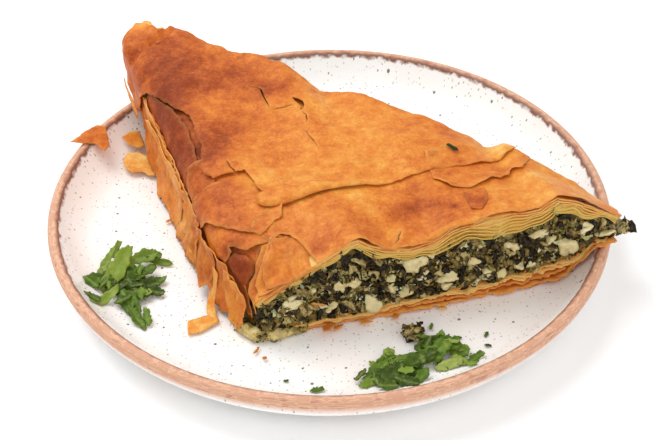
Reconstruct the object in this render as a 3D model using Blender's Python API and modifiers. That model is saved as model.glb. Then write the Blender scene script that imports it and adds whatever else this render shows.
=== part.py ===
# A three-cornered slice of spanakopita on its stoneware plate, with chopped parsley beside it.
#
# Sizes are in millimetres and become metres where a point is written into a mesh.
# The origin is the middle of the plate's foot, on the table, with +Z up.
# The slice has coordinates of its own: s runs along the front cut from the front-left corner,
# t runs along the baked outer edge from the same corner, and z is the height over the table.

from math import cos, hypot, pi, radians, sin

import bmesh
import bpy
import numpy as np
from mathutils import Vector, noise

MM = 0.001
GAP = 0.4                    # air between pieces that touch

# plate
LIP_CENTRE = (107.6, 17.9)   # radius and height of the rounded lip's centre
LIP_RADIUS = 2.4
LIP_START = radians(165)     # where the lip leaves the climbing wall
LIP_END = radians(-25)       # where it meets the underside
LIP_POINTS = 7
WELL_RADIUS = 84.0           # the flat middle of the plate
WELL_HEIGHT = 7.2
WELL_CURVE = 3.0             # how late the wall climbs
PLATE_WALL = 4.9
UNDER_SHIFT = 3.5            # the underside follows the well this far outside it
UNDER_START = 1.0            # the underside begins this far outside the lip's centre
UNDER_POINTS = 6
FOOT_RADIUS = 62.0
FOOT_FLARE = 2.0             # the foot's side leans out by this much
PLATE_STEPS = 56
REST_REACH = 3.5             # keeps the food's flat triangles clear of the plate's curving wall

# slice, seen from above
CORNER = (-26.4, -65.1)      # the front-left corner
FRONT_CUT_ANGLE = radians(16.1)
OUTER_EDGE_ANGLE = radians(109.8)
FRONT_LENGTH = 149.0         # the front cut, from the corner to the right-hand tip
EDGE_LENGTH = 163.0          # where the long cut would meet the outer edge
BODY_LENGTH = 150.0          # where the blunt far end of the slice really is
CRUST_OVERHANG = 7.0         # the top crust juts past that end
OVERHANG_AT_FOOT = 0.2       # share of that overhang at the wall's foot
TIP_TRIM = 4.5               # the crusts stop this short of the right-hand tip
TIP_LEAN = 4.0               # the cut's base leans this far forward by the tip
TIP_LEAN_START = 105.0
TIP_LEAN_LENGTH = 25.0
EDGE_BULGE = 6.3             # the outer edge bows out beyond the corner
BULGE_LENGTH = 30.0
LONG_CUT_SLOPE = 0.73        # turns a run along s into a distance from the long cut

# slice, from the side
CRUST_WALL = 2.6
SHOULDER_REACH = 15.0
SHOULDER_SHARE = 0.45        # of the slice's width, at most, where it is narrow
CORNER_SHOULDER = 25.0       # height where the outer wall starts to turn over, at the corner
EDGE_SHOULDER = 33.0         # along the outer edge
FAR_SHOULDER = 42.0          # at the far end
CORNER_LENGTH = 25.0         # the corner's low slope becomes a round shoulder over this length
FAR_RISE_START = 115.0       # where the shoulder climbs to its height at the far end
FAR_RISE_LENGTH = 35.0
CROWN = 43.5
CROWN_CLIMB = 0.02           # height gained for each millimetre towards the far end
CROWN_WAVE = 1.2             # height of the gentle waves across the top
CROWN_WAVE_S = 17.0          # a wave's length along s and along t, over 2 pi
CROWN_WAVE_T = 21.0
TIP_FALL = 12.0              # the top falls by this much towards the right-hand tip
TIP_FALL_START = 105.0
TIP_FALL_LENGTH = 45.0
CRUST_DEPTH = 6.0            # top crust away from the front cut
TIP_THIN_START = 130.0       # past here the top crust thins towards the right-hand tip
TIP_THIN_LEAST = 1.5
TIP_THIN_SLOPE = 0.3
FILLING_FLOOR = 12.5         # underside of the filling away from the front cut
BOTTOM_CRUST_LEAST = 1.4
EDGE_FADE = 18.0             # how far a cut's waves reach into the slice

# (s, height) along the front cut and the long cut
FRONT_TOP = [(0, 26), (8, 30), (15, 34), (27, 41), (34, 45.5), (38, 46), (42, 43), (48, 40),
             (58, 37), (66, 38), (73, 42.5), (91, 45.5), (107, 44), (114, 48.3), (123, 44),
             (136, 35), (150, 25.4)]
FRONT_CRUST_DEPTH = [(0, 1.5), (30, 3), (45, 5), (60, 4.5), (73, 7.5), (88, 10.5), (104, 8.6),
                     (127, 6), (136, 2.5), (150, 1.5)]
FRONT_FLOOR = [(0, 9.2), (14, 10), (42, 9.8), (51, 11.6), (66, 10.8), (74, 12.2), (80, 11.4),
               (93, 12), (109, 14), (132, 17.4), (140, 21.6), (150, 22.6)]
LONG_CUT_TOP = [(-7, 44), (5, 49), (14, 49), (30, 47), (46, 50), (58, 42), (72, 45), (94, 43),
                (106, 38), (112, 41.5), (122, 38.8), (134, 32.8), (143, 27.5), (150, 25)]

# cells of the three layers' grids
WALL_CELLS = 3
SHOULDER_CELLS = 4
TOP_CELLS = 22
ROWS = 15
ROW_CROWDING = 0.09          # draws the rows towards both ends of the slice

# loose pieces on the plate
FLAKE_THICKNESS = 0.6
HEAP_SEGMENTS = 16
HEAP_RINGS = 8
HEAP_LEAST = 0.75            # a heap's even share of its height
HEAP_LUMP = 0.5              # how far its lumps rise over that or sink under it
HEAP_LUMP_SIZE = 6.0
PARSLEY_LEFT = {"centre": (-80, -34), "height": 8, "radii": (14, 20, 18, 21, 15, 13, 22, 17)}
PARSLEY_FRONT = {"centre": (30, -78), "height": 7, "radii": (20, 14, 8, 14, 19, 19, 14, 13)}
FILLING_CRUMB = {"centre": (30.5, -64.6), "height": 6.5, "radii": (5, 3.6, 4.2, 3.8, 4.6, 3.5, 4, 4.2)}
# flakes of filo: the height of their lowest point, how steeply they climb outwards, and an outline
FLAKE_ON_RIM = {"height": 18.4, "slope": 0.26,
                "outline": [(-106, 37.5), (-102.8, 42), (-101, 45.8), (-96.7, 50.5), (-93.2, 50.4),
                            (-90.5, 40), (-92, 36), (-96.5, 39.5), (-101.6, 38)]}
FLAKE_BACK = {"height": 10.6, "slope": 0.34,
              "outline": [(-87, 51), (-84.5, 55), (-80.8, 57.2), (-79.4, 55.5), (-78.2, 52),
                          (-77.4, 49), (-79.5, 47.2), (-84, 48)]}
FLAKE_SIDE = {"height": 8.0, "slope": 0.12,
              "outline": [(-85.5, 41), (-84.3, 45), (-79.8, 46.2), (-76.4, 44), (-74.2, 41.5),
                          (-72.4, 36.5), (-71, 32), (-74, 31.5), (-77, 34), (-81, 32.8), (-84.5, 35)]}
# rails of the torn strip of filo that hangs off the outer wall, as (s, t, height)
STRIP_NEAR_RAIL = [(-8.2, 20.5, 24), (-8.8, 21, 16), (-10.2, 20, 10.5), (-10.7, 16.5, 8.3),
                   (-10.6, 12.8, 8.1), (-18, 9, 8.1), (-23.5, 8.8, 8.1)]
STRIP_FAR_RAIL = [(-8.4, 25.5, 24), (-9.2, 25.5, 16), (-11.4, 24.5, 10.5), (-13.4, 20, 8.3),
                  (-13.8, 17.4, 8.1), (-17, 16.8, 8.1), (-21.5, 16, 8.1)]


def ease(x):
    # 0 below 0, 1 above 1, and a smooth climb between
    x = min(max(x, 0.0), 1.0)
    return x * x * (3 - 2 * x)


def along_list(points, x):
    return float(np.interp(x, [p[0] for p in points], [p[1] for p in points]))


# ---- plate ----

def well_height(r):
    # upper surface of the plate inside its lip
    lip_start_r = LIP_CENTRE[0] + LIP_RADIUS * cos(LIP_START)
    lip_start_z = LIP_CENTRE[1] + LIP_RADIUS * sin(LIP_START)
    climb = min(max((r - WELL_RADIUS) / (lip_start_r - WELL_RADIUS), 0.0), 1.0)
    return WELL_HEIGHT + (lip_start_z - WELL_HEIGHT) * climb ** WELL_CURVE


def plate_profile():
    # from the middle of the well out over the lip and back under to the middle of the foot
    lip_start_r = LIP_CENTRE[0] + LIP_RADIUS * cos(LIP_START)
    points = [(0.0, WELL_HEIGHT)]
    for r in np.linspace(WELL_RADIUS, lip_start_r, UNDER_POINTS)[:-1]:
        points.append((r, well_height(r)))
    for angle in np.linspace(LIP_START, LIP_END, LIP_POINTS):
        points.append((LIP_CENTRE[0] + LIP_RADIUS * cos(angle), LIP_CENTRE[1] + LIP_RADIUS * sin(angle)))
    for r in np.linspace(LIP_CENTRE[0] + UNDER_START, WELL_RADIUS + UNDER_SHIFT, UNDER_POINTS):
        points.append((r, well_height(r - UNDER_SHIFT) - PLATE_WALL))
    points.append((FOOT_RADIUS + FOOT_FLARE, WELL_HEIGHT - PLATE_WALL))
    points.append((FOOT_RADIUS, 0.0))
    points.append((0.0, 0.0))
    return points


def make_plate(collection, material):
    profile = plate_profile()
    mesh = bpy.data.meshes.new("plate")
    edges = [(i, i + 1) for i in range(len(profile) - 1)]
    mesh.from_pydata([(r * MM, 0, z * MM) for r, z in profile], edges, [])
    plate = add_object("plate", mesh, collection, material)
    turn = plate.modifiers.new("turn", "SCREW")
    turn.axis = "Z"
    turn.steps = PLATE_STEPS
    turn.render_steps = PLATE_STEPS
    turn.use_merge_vertices = True
    turn.merge_threshold = 0.00001
    turn.use_smooth_shade = True


def rest_height(x, y):
    # lowest that food can lie at this place: a little over the well, the wall or the lip
    r = hypot(x, y) + REST_REACH
    lip_start_r = LIP_CENTRE[0] + LIP_RADIUS * cos(LIP_START)
    if r < lip_start_r:
        return well_height(r) + GAP
    return LIP_CENTRE[1] + LIP_RADIUS + GAP


# ---- slice ----

def plan(s, t):
    # slice coordinates to x and y
    x = CORNER[0] + s * cos(FRONT_CUT_ANGLE) + t * cos(OUTER_EDGE_ANGLE)
    y = CORNER[1] + s * sin(FRONT_CUT_ANGLE) + t * sin(OUTER_EDGE_ANGLE)
    return x, y


def in_slice(s, t, z):
    x, y = plan(s, t)
    return Vector((x * MM, y * MM, z * MM))


def left_edge(t):
    return -1.0 - EDGE_BULGE * ease(t / BULGE_LENGTH)


def right_edge(t):
    return FRONT_LENGTH * (1 - t / EDGE_LENGTH)


def shoulder_height(t):
    height = CORNER_SHOULDER + (EDGE_SHOULDER - CORNER_SHOULDER) * ease(t / CORNER_LENGTH)
    return height + (FAR_SHOULDER - EDGE_SHOULDER) * ease((t - FAR_RISE_START) / FAR_RISE_LENGTH)


def edge_mix(s, t, inner, front, back):
    # inner height in the middle of the slice, drawn to the cuts' own heights near them
    from_front = np.exp(-max(t, 0.0) / EDGE_FADE)
    from_back = np.exp(-max(right_edge(t) - s, 0.0) * LONG_CUT_SLOPE / EDGE_FADE)
    from_back *= 1 - from_front
    return inner + (front - inner) * from_front + (back - inner) * from_back


def top_height(s, t):
    wave = CROWN_WAVE * sin(s / CROWN_WAVE_S) * cos(t / CROWN_WAVE_T)
    crown = CROWN + CROWN_CLIMB * t + wave - TIP_FALL * ease((s - TIP_FALL_START) / TIP_FALL_LENGTH)
    back = along_list(LONG_CUT_TOP, s)
    return edge_mix(s, t, crown, along_list(FRONT_TOP, s), back)


def crust_underside(s, t):
    depth = edge_mix(s, t, CRUST_DEPTH, along_list(FRONT_CRUST_DEPTH, s), CRUST_DEPTH)
    if s > TIP_THIN_START:
        depth = min(depth, TIP_THIN_LEAST + TIP_THIN_SLOPE * max(FRONT_LENGTH - s, 0))
    return top_height(s, t) - depth


def filling_floor(s, t):
    floor = edge_mix(s, t, FILLING_FLOOR, along_list(FRONT_FLOOR, s), FILLING_FLOOR)
    return max(floor, rest_height(*plan(s, t)) + BOTTOM_CRUST_LEAST + GAP)


def row_place(row):
    # rows lie closer together near the front cut and the far end
    v = row / ROWS
    return BODY_LENGTH * (v - ROW_CROWDING * sin(2 * pi * v))


def section_point(cell, t, inset, face_height, trim=0.0):
    # A face that climbs the outer wall, turns the shoulder and runs across to the long cut.
    # inset is how far inside the outer wall it climbs, face_height(s, t) is its height on top,
    # and trim is how far it stops short of the slice's right-hand tip.
    edge = left_edge(t)
    reach = min(SHOULDER_REACH, SHOULDER_SHARE * (right_edge(t) - edge))
    start = edge + inset
    shoulder_s = edge + reach
    wall_top = shoulder_height(t) - inset / 2
    if cell <= WALL_CELLS:
        foot = rest_height(*plan(start, t))
        return start, t, foot + (wall_top - foot) * cell / WALL_CELLS
    if cell <= WALL_CELLS + SHOULDER_CELLS:
        turn = (cell - WALL_CELLS) / SHOULDER_CELLS * pi / 2
        power = 2 / (1 + ease(t / CORNER_LENGTH))   # a slope at the front cut, round behind
        s = start + (shoulder_s - start) * (1 - cos(turn) ** power)
        rise = face_height(shoulder_s, t) - wall_top
        return s, t, wall_top + rise * sin(turn) ** power
    across = (cell - WALL_CELLS - SHOULDER_CELLS) / TOP_CELLS
    s = min(shoulder_s + (right_edge(t) - shoulder_s) * across, FRONT_LENGTH - trim)
    return s, t, face_height(s, t)


def layer(name, first_cell, rows, lower, upper, collection, material):
    # A closed block over the slice's grid. lower and upper give a face's point (s, t, z)
    # for a cell number across the slice and a row number from the front cut to the far end.
    cells = WALL_CELLS + SHOULDER_CELLS + TOP_CELLS - first_cell
    bm = bmesh.new()
    bmesh.ops.create_grid(bm, x_segments=cells, y_segments=rows, size=0.5)
    bmesh.ops.triangulate(bm, faces=bm.faces[:], quad_method="FIXED")
    lid = bmesh.ops.extrude_face_region(bm, geom=bm.faces[:])["geom"]
    lifted = {item for item in lid if isinstance(item, bmesh.types.BMVert)}
    for vert in bm.verts:
        cell = first_cell + round((vert.co.x + 0.5) * cells)
        row = round((vert.co.y + 0.5) * rows)
        vert.co = in_slice(*(upper if vert in lifted else lower)(cell, row))
    bmesh.ops.recalc_face_normals(bm, faces=bm.faces[:])
    mesh = bpy.data.meshes.new(name)
    bm.to_mesh(mesh)
    bm.free()
    return add_object(name, mesh, collection, material)


def crust_face(inset, face_height):
    # the top crust has one row more than the filling, which juts out most at its top
    def face(cell, row):
        t = row_place(min(row, ROWS))
        if row > ROWS:
            share = ease(cell / (WALL_CELLS + SHOULDER_CELLS))
            t += CRUST_OVERHANG * (OVERHANG_AT_FOOT + (1 - OVERHANG_AT_FOOT) * share)
        return section_point(cell, t, inset, face_height, TIP_TRIM)
    return face


def make_top_crust(collection, material):
    inner = crust_face(CRUST_WALL, crust_underside)
    outer = crust_face(0.0, top_height)
    layer("top_crust", 0, ROWS + 1, inner, outer, collection, material)


def make_filling(collection, material):
    inset = CRUST_WALL + GAP

    def top(cell, row):
        return section_point(cell, row_place(row), inset, lambda s, t: crust_underside(s, t) - GAP)

    def floor(cell, row):
        s, t, _ = top(cell, row)
        return s, t, filling_floor(s, t)

    layer("filling", WALL_CELLS, ROWS, floor, top, collection, material)


def make_bottom_crust(collection, material):
    inset = CRUST_WALL + GAP

    def top(cell, row):
        s, t, _ = section_point(cell, row_place(row), inset, top_height, TIP_TRIM / 2)
        z = filling_floor(s, t) - GAP
        if row == 0:
            t -= TIP_LEAN * ease((s - TIP_LEAN_START) / TIP_LEAN_LENGTH)
        return s, t, z

    def base(cell, row):
        s, t, _ = top(cell, row)
        return s, t, rest_height(*plan(s, t))

    layer("bottom_crust", WALL_CELLS, ROWS, base, top, collection, material)


# ---- loose pieces ----

def heap(name, sizes, collection, material):
    # A low uneven mound with a flat base, its outline set by radii at even angles.
    bm = bmesh.new()
    bmesh.ops.create_uvsphere(bm, u_segments=HEAP_SEGMENTS, v_segments=HEAP_RINGS, radius=1)
    radii = sizes["radii"]
    turns = np.linspace(0, 2 * pi, len(radii) + 1)
    for vert in bm.verts:
        angle = np.arctan2(vert.co.y, vert.co.x) % (2 * pi)
        radius = np.interp(angle, turns, radii + radii[:1])
        x = sizes["centre"][0] + vert.co.x * radius
        y = sizes["centre"][1] + vert.co.y * radius
        lump = noise.noise(Vector((x / HEAP_LUMP_SIZE, y / HEAP_LUMP_SIZE, 0)))
        lumps = HEAP_LEAST + HEAP_LUMP * lump
        z = rest_height(x, y) + sizes["height"] * max(vert.co.z, 0.0) * lumps
        vert.co = Vector((x, y, z)) * MM
    mesh = bpy.data.meshes.new(name)
    bm.to_mesh(mesh)
    bm.free()
    mesh.shade_smooth()
    add_object(name, mesh, collection, material)


def thicken(piece):
    wall = piece.modifiers.new("thickness", "SOLIDIFY")
    wall.thickness = FLAKE_THICKNESS * MM
    wall.offset = 1.0        # grows away from the plate


def flake(name, shape, collection, material):
    # A thin flat flake of filo. It climbs outwards from its height at the outline's nearest
    # point to the plate's middle, by its slope for each millimetre of radius.
    outline = shape["outline"]
    nearest = min(hypot(x, y) for x, y in outline)
    middle = np.mean(outline, axis=0)
    outward = middle / np.linalg.norm(middle)
    points = []
    for x, y in outline:
        climb = x * outward[0] + y * outward[1] - nearest
        points.append((x * MM, y * MM, (shape["height"] + shape["slope"] * climb) * MM))
    mesh = bpy.data.meshes.new(name)
    bm = bmesh.new()
    face = bm.faces.new([bm.verts.new(p) for p in points])
    face.normal_update()
    if face.normal.z < 0:
        face.normal_flip()
    bm.to_mesh(mesh)
    bm.free()
    thicken(add_object(name, mesh, collection, material))


def make_hanging_strip(collection, material):
    # A ribbon between two rails, with its outer side away from the wall and the plate.
    bm = bmesh.new()
    near = [bm.verts.new(in_slice(*p)) for p in STRIP_NEAR_RAIL]
    far = [bm.verts.new(in_slice(*p)) for p in STRIP_FAR_RAIL]
    for i in range(len(near) - 1):
        bm.faces.new((near[i], far[i], far[i + 1], near[i + 1]))
    bmesh.ops.triangulate(bm, faces=bm.faces[:])
    bm.normal_update()
    if sum(face.normal.z for face in bm.faces) < 0:
        bmesh.ops.reverse_faces(bm, faces=bm.faces[:])
    mesh = bpy.data.meshes.new("hanging_strip")
    bm.to_mesh(mesh)
    bm.free()
    thicken(add_object("hanging_strip", mesh, collection, material))


# ---- materials and scene ----

def linear(hex_colour):
    channels = [int(hex_colour[i:i + 2], 16) / 255 for i in (0, 2, 4)]
    return [c / 12.92 if c <= 0.04045 else ((c + 0.055) / 1.055) ** 2.4 for c in channels] + [1.0]


def make_material(name, hex_colour, roughness):
    material = bpy.data.materials.new(name)
    material.use_nodes = True
    shader = material.node_tree.nodes["Principled BSDF"]
    shader.inputs["Base Color"].default_value = linear(hex_colour)
    shader.inputs["Roughness"].default_value = roughness
    shader.inputs["Metallic"].default_value = 0.0
    return material


def add_object(name, mesh, collection, material):
    mesh.materials.append(material)
    piece = bpy.data.objects.new(name, mesh)
    collection.objects.link(piece)
    return piece


def main():
    for old in list(bpy.data.objects):
        bpy.data.objects.remove(old, do_unlink=True)
    collection = bpy.data.collections.new("spanakopita_slice_on_plate")
    bpy.context.scene.collection.children.link(collection)

    stoneware = make_material("speckled_stoneware", "F4EEE8", 0.3)
    filo = make_material("baked_filo", "D88A42", 0.6)
    base_filo = make_material("baked_filo_base", "C67F3F", 0.65)
    spinach = make_material("spinach_filling", "4A4A30", 0.5)
    parsley = make_material("parsley", "4C7322", 0.55)

    make_plate(collection, stoneware)
    make_bottom_crust(collection, base_filo)
    make_filling(collection, spinach)
    make_top_crust(collection, filo)
    make_hanging_strip(collection, filo)
    flake("flake_rim", FLAKE_ON_RIM, collection, filo)
    flake("flake_back", FLAKE_BACK, collection, filo)
    flake("flake_side", FLAKE_SIDE, collection, filo)
    heap("parsley_left", PARSLEY_LEFT, collection, parsley)
    heap("parsley_front", PARSLEY_FRONT, collection, parsley)
    heap("filling_crumb", FILLING_CRUMB, collection, spinach)


main()
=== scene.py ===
# A slice of spanakopita on a speckled stoneware plate, with chopped parsley beside it.
# Sizes are in millimetres and become metres where a mesh is made. The slice has its own
# coordinates: s runs along the front cut, t along the baked outer edge, z is up from the table.
from math import cos, pi, radians, sin

import bmesh
import bpy
import numpy as np
from mathutils import Matrix, Vector, geometry, kdtree, noise


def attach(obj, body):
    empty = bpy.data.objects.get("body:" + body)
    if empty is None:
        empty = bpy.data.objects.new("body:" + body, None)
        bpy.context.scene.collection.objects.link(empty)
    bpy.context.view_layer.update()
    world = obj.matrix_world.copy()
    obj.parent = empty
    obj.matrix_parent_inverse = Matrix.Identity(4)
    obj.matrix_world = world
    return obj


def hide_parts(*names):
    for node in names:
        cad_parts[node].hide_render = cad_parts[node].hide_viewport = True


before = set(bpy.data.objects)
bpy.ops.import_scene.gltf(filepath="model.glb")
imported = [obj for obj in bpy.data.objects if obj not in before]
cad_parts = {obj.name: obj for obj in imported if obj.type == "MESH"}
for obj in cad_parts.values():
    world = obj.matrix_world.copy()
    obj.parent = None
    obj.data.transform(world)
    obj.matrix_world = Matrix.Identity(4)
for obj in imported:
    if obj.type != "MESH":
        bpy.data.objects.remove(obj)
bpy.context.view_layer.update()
scene = bpy.context.scene
mm = 0.001

pie = {
    "corner": (-26.4, -65.1),            # front-left corner of the slice
    "frontAngle": radians(16.1), "edgeAngle": radians(109.8),
    "frontLength": 149.0, "edgeLength": 163.0, "bodyLength": 150.0,
    "edgeOut": 1.0, "edgeBulge": 6.3, "bulgeLength": 30.0, "longCutSlope": 0.73,
    "shoulderReach": 15.0, "shoulderShare": 0.45, "shoulderStretch": 1.15,
    "cornerShoulder": 25.0, "edgeShoulder": 33.0, "farShoulder": 42.0,
    "cornerLength": 25.0,                # along t, the part of the shoulder that is lower and rounder
    "farRise": (115.0, 35.0),            # where the shoulder climbs to the far end, over what length
    "crown": 43.5, "crownClimb": 0.02, "crownWave": 1.2, "waveLengths": (17.0, 21.0),
    "tipFall": (12.0, 105.0, 45.0),      # how far the crown drops to the tip, from where, over what length
    "tipThin": (130.0, 0.25, 0.3),       # where the crust thins to the tip, its least share, its slope
    "crustDepth": 6.0, "crustWall": 2.6, "fillingFloor": 12.5, "leastBase": 1.8, "edgeFade": 18.0,
    "frontTop": [(0, 26), (8, 30), (15, 34), (27, 41), (34, 45.5), (38, 46), (42, 43), (48, 40),
                 (58, 37), (66, 38), (73, 42.5), (91, 45.5), (107, 44), (114, 48.3), (123, 44),
                 (136, 35), (150, 25.4)],
    "frontDepth": [(0, 1.5), (30, 3), (45, 5), (60, 4.5), (73, 7.5), (88, 10.5), (104, 8.6),
                   (127, 6), (136, 2.5), (150, 1.5)],
    "frontFloor": [(0, 9.2), (14, 10), (42, 9.8), (51, 11.6), (66, 10.8), (74, 12.2), (80, 11.4),
                   (93, 12), (109, 14), (132, 17.4), (140, 21.6), (150, 22.6)],
    "longTop": [(-7, 44), (5, 49), (14, 49), (30, 47), (46, 50), (58, 42), (72, 45), (94, 43),
                (106, 38), (112, 41.5), (122, 38.8), (134, 32.8), (143, 27.5), (150, 25)],
}

plate = {
    "lipCentre": (107.6, 17.9), "lipRadius": 2.4, "lipStart": radians(165), "lipEnd": radians(-25),
    "wellRadius": 84.0, "wellHeight": 7.2, "wellCurve": 3.0, "wall": 4.9, "underShift": 3.5,
    "footRadius": 62.0, "flatRadius": 40, "wallStart": 6.0,
    "steps": 224, "wallRings": 22, "lipRings": 16, "underRings": 14,
    # the foot ring's outer profile: radius past the foot's, and height under the plate's underside
    "footProfile": [(4, 0), (1.2, 0.5), (0, 1.6)], "footTaper": 0.6,
}


# the slice's own shape
def ease(x):
    x = np.clip(x, 0, 1)
    return x * x * (3 - 2 * x)


def alongList(points, x):
    return np.interp(x, [p[0] for p in points], [p[1] for p in points])


lipStartR = plate["lipCentre"][0] + plate["lipRadius"] * cos(plate["lipStart"])
lipStartZ = plate["lipCentre"][1] + plate["lipRadius"] * sin(plate["lipStart"])


def wellHeight(r):
    climb = np.clip((r - plate["wellRadius"]) / (lipStartR - plate["wellRadius"]), 0, 1)
    return plate["wellHeight"] + (lipStartZ - plate["wellHeight"]) * climb ** plate["wellCurve"]


def restHeight(x, y, reach=3.5, gap=0.4):
    # lowest that food can lie: just over the well, the wall or the lip
    r = np.hypot(x, y) + reach
    lip = plate["lipCentre"][1] + plate["lipRadius"]
    return np.where(r < lipStartR, wellHeight(r), lip) + gap


def plan(s, t):
    front, edge = pie["frontAngle"], pie["edgeAngle"]
    x = pie["corner"][0] + s * cos(front) + t * cos(edge)
    return x, pie["corner"][1] + s * sin(front) + t * sin(edge)


def leftEdge(t):
    return -pie["edgeOut"] - pie["edgeBulge"] * ease(t / pie["bulgeLength"])


def rightEdge(t):
    return pie["frontLength"] * (1 - t / pie["edgeLength"])


def shoulderHeight(t):
    start, length = pie["farRise"]
    gain = ease(t / pie["cornerLength"])
    low = pie["cornerShoulder"] + (pie["edgeShoulder"] - pie["cornerShoulder"]) * gain
    return low + (pie["farShoulder"] - pie["edgeShoulder"]) * ease((t - start) / length)


def edgeMix(s, t, inner, front, back):
    nearFront = np.exp(-np.maximum(t, 0) / pie["edgeFade"])
    nearBack = np.exp(-np.maximum(rightEdge(t) - s, 0) * pie["longCutSlope"] / pie["edgeFade"])
    return inner + (front - inner) * nearFront + (back - inner) * nearBack * (1 - nearFront)


def topHeight(s, t):
    fall, start, length = pie["tipFall"]
    waveS, waveT = pie["waveLengths"]
    crown = pie["crown"] + pie["crownClimb"] * t + pie["crownWave"] * np.sin(s / waveS) * np.cos(t / waveT)
    crown = crown - fall * ease((s - start) / length)
    return edgeMix(s, t, crown, alongList(pie["frontTop"], s), alongList(pie["longTop"], s))


def crustDepth(s, t):
    start, least, slope = pie["tipThin"]
    depth = edgeMix(s, t, pie["crustDepth"], alongList(pie["frontDepth"], s), pie["crustDepth"])
    tip = pie["crustDepth"] * least + np.maximum(pie["frontLength"] - s, 0) * slope
    return np.where(s > start, np.minimum(depth, tip), depth)


def fillingFloor(s, t):
    floor = edgeMix(s, t, pie["fillingFloor"], alongList(pie["frontFloor"], s), pie["fillingFloor"])
    return np.maximum(floor, restHeight(*plan(s, t)) + pie["leastBase"])


def shoulderOf(t):
    # where the top begins, how long the shoulder's arc is, and the wall's top
    edge = leftEdge(t)
    reach = np.minimum(pie["shoulderReach"], pie["shoulderShare"] * (rightEdge(t) - edge))
    wallTop = shoulderHeight(t)
    crest = topHeight(edge + reach, t)
    return edge, reach, wallTop, crest, pie["shoulderStretch"] * np.hypot(reach, crest - wallTop)


def overCrust(w, t):
    # w is s on top of the crust and runs on over the shoulder, down the outer wall and out on the plate
    edge, reach, wallTop, crest, arc = shoulderOf(t)
    turn = np.clip(1 - (edge + reach - w) / arc, 0, 1) * pi / 2
    power = 2 / (1 + ease(t / pie["cornerLength"]))
    onTop = w >= edge + reach
    s = np.where(onTop, w, edge + reach * (1 - np.cos(turn) ** power))
    z = np.where(onTop, topHeight(s, t), wallTop + (crest - wallTop) * np.sin(turn) ** power)
    drop = np.maximum(edge + reach - arc - w, 0)
    wall = wallTop - restHeight(*plan(s, t))
    return s - np.maximum(drop - wall, 0), t + 0 * w, z - np.minimum(drop, wall)


def crustSurface(w, t):
    # points and outward normals of the crust's outer face
    def point(a, b):
        s, t1, z = overCrust(a, b)
        x, y = plan(s, t1)
        return np.stack([x, y, z], axis=-1)

    w, t = np.asarray(w, float), np.asarray(t, float)
    d = 0.6
    normal = np.cross(point(w + d, t) - point(w - d, t), point(w, t + d) - point(w, t - d))
    normal /= np.linalg.norm(normal, axis=-1, keepdims=True) + 1e-9
    return point(w, t), normal


def crustThickness(w, t):
    edge, reach, _, _, arc = shoulderOf(t)
    share = np.clip(1 - (edge + reach - w) / arc, 0, 1)
    onTop = crustDepth(np.maximum(w, edge + reach), t)
    return pie["crustWall"] + (onTop - pie["crustWall"]) * share


# small tools
def toLinear(hexColour):
    channels = [int(hexColour[i:i + 2], 16) / 255 for i in (0, 2, 4)]
    return [c / 12.92 if c <= 0.04045 else ((c + 0.055) / 1.055) ** 2.4 for c in channels] + [1.0]


def addNode(tree, kind, settings=None, links=None):
    # settings and links are keyed by a property, an input's name or its number; stops fills a colour ramp
    made = tree.nodes.new(kind)
    for key, value in (settings or {}).items():
        if key == "stops":
            ramp = made.color_ramp.elements
            while len(ramp) < len(value):
                ramp.new(0.5)
            for element, (place, colour) in zip(ramp, value):
                element.position = place
                element.color = toLinear(colour) if isinstance(colour, str) else (colour,) * 3 + (1,)
        elif isinstance(key, str) and hasattr(made, key):
            setattr(made, key, value)
        else:
            made.inputs[key].default_value = value
    for key, source in (links or {}).items():
        tree.links.new(source, made.inputs[key])
    return made


def newMaterial(name, settings):
    material = bpy.data.materials.new(name)
    material.use_nodes = True
    tree = material.node_tree
    shader = tree.nodes["Principled BSDF"]
    for key, value in settings.items():
        shader.inputs[key].default_value = value
    place = addNode(tree, "ShaderNodeTexCoord").outputs["Object"]
    return material, tree, shader, place


def sized(millimetres):
    # a noise texture's scale for blotches about this many millimetres across
    return 1 / (millimetres * mm)


def finishShader(tree, shader, colour, relief, strength, depth, rough=None):
    # links a material's colour, a relief so many millimetres deep and, where it varies, the roughness
    bump = addNode(tree, "ShaderNodeBump", {"Strength": strength, "Distance": depth * mm},
                   {"Height": relief.outputs["Fac"]})
    tree.links.new(colour, shader.inputs["Base Color"])
    tree.links.new(bump.outputs["Normal"], shader.inputs["Normal"])
    if rough:
        tree.links.new(rough.outputs["Result"], shader.inputs["Roughness"])


def mottled(tree, value, blotches, weight):
    # a value pushed up and down by a noise texture
    centred = addNode(tree, "ShaderNodeMath", {"operation": "SUBTRACT", 1: 0.5},
                      {0: blotches.outputs["Fac"]})
    return addNode(tree, "ShaderNodeMath", {"operation": "MULTIPLY_ADD", 1: weight},
                   {0: centred.outputs[0], 2: value}).outputs[0]


def pointValues(tree, *names):
    return [addNode(tree, "ShaderNodeAttribute", {"attribute_name": name}).outputs["Fac"] for name in names]


def setValues(mesh, values):
    # named numbers for each point, read by the materials and by the strewing
    for key, numbers in values.items():
        mesh.attributes.new(key, "FLOAT", "POINT").data.foreach_set("value", np.asarray(numbers, np.float32))


def sceneObject(name, data):
    made = bpy.data.objects.new(name, data)
    scene.collection.objects.link(made)
    return made


def meshObject(name, points, faces, values=None, smooth=True):
    # points are in millimetres
    mesh = bpy.data.meshes.new(name)
    mesh.from_pydata([tuple(p) for p in np.asarray(points, float) * mm], [], faces)
    setValues(mesh, values or {})
    if smooth:
        mesh.shade_smooth()
    return sceneObject(name, mesh)


def bmeshObject(name, bm):
    mesh = bpy.data.meshes.new(name)
    bm.to_mesh(mesh)
    bm.free()
    mesh.shade_smooth()
    return sceneObject(name, mesh)


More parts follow.
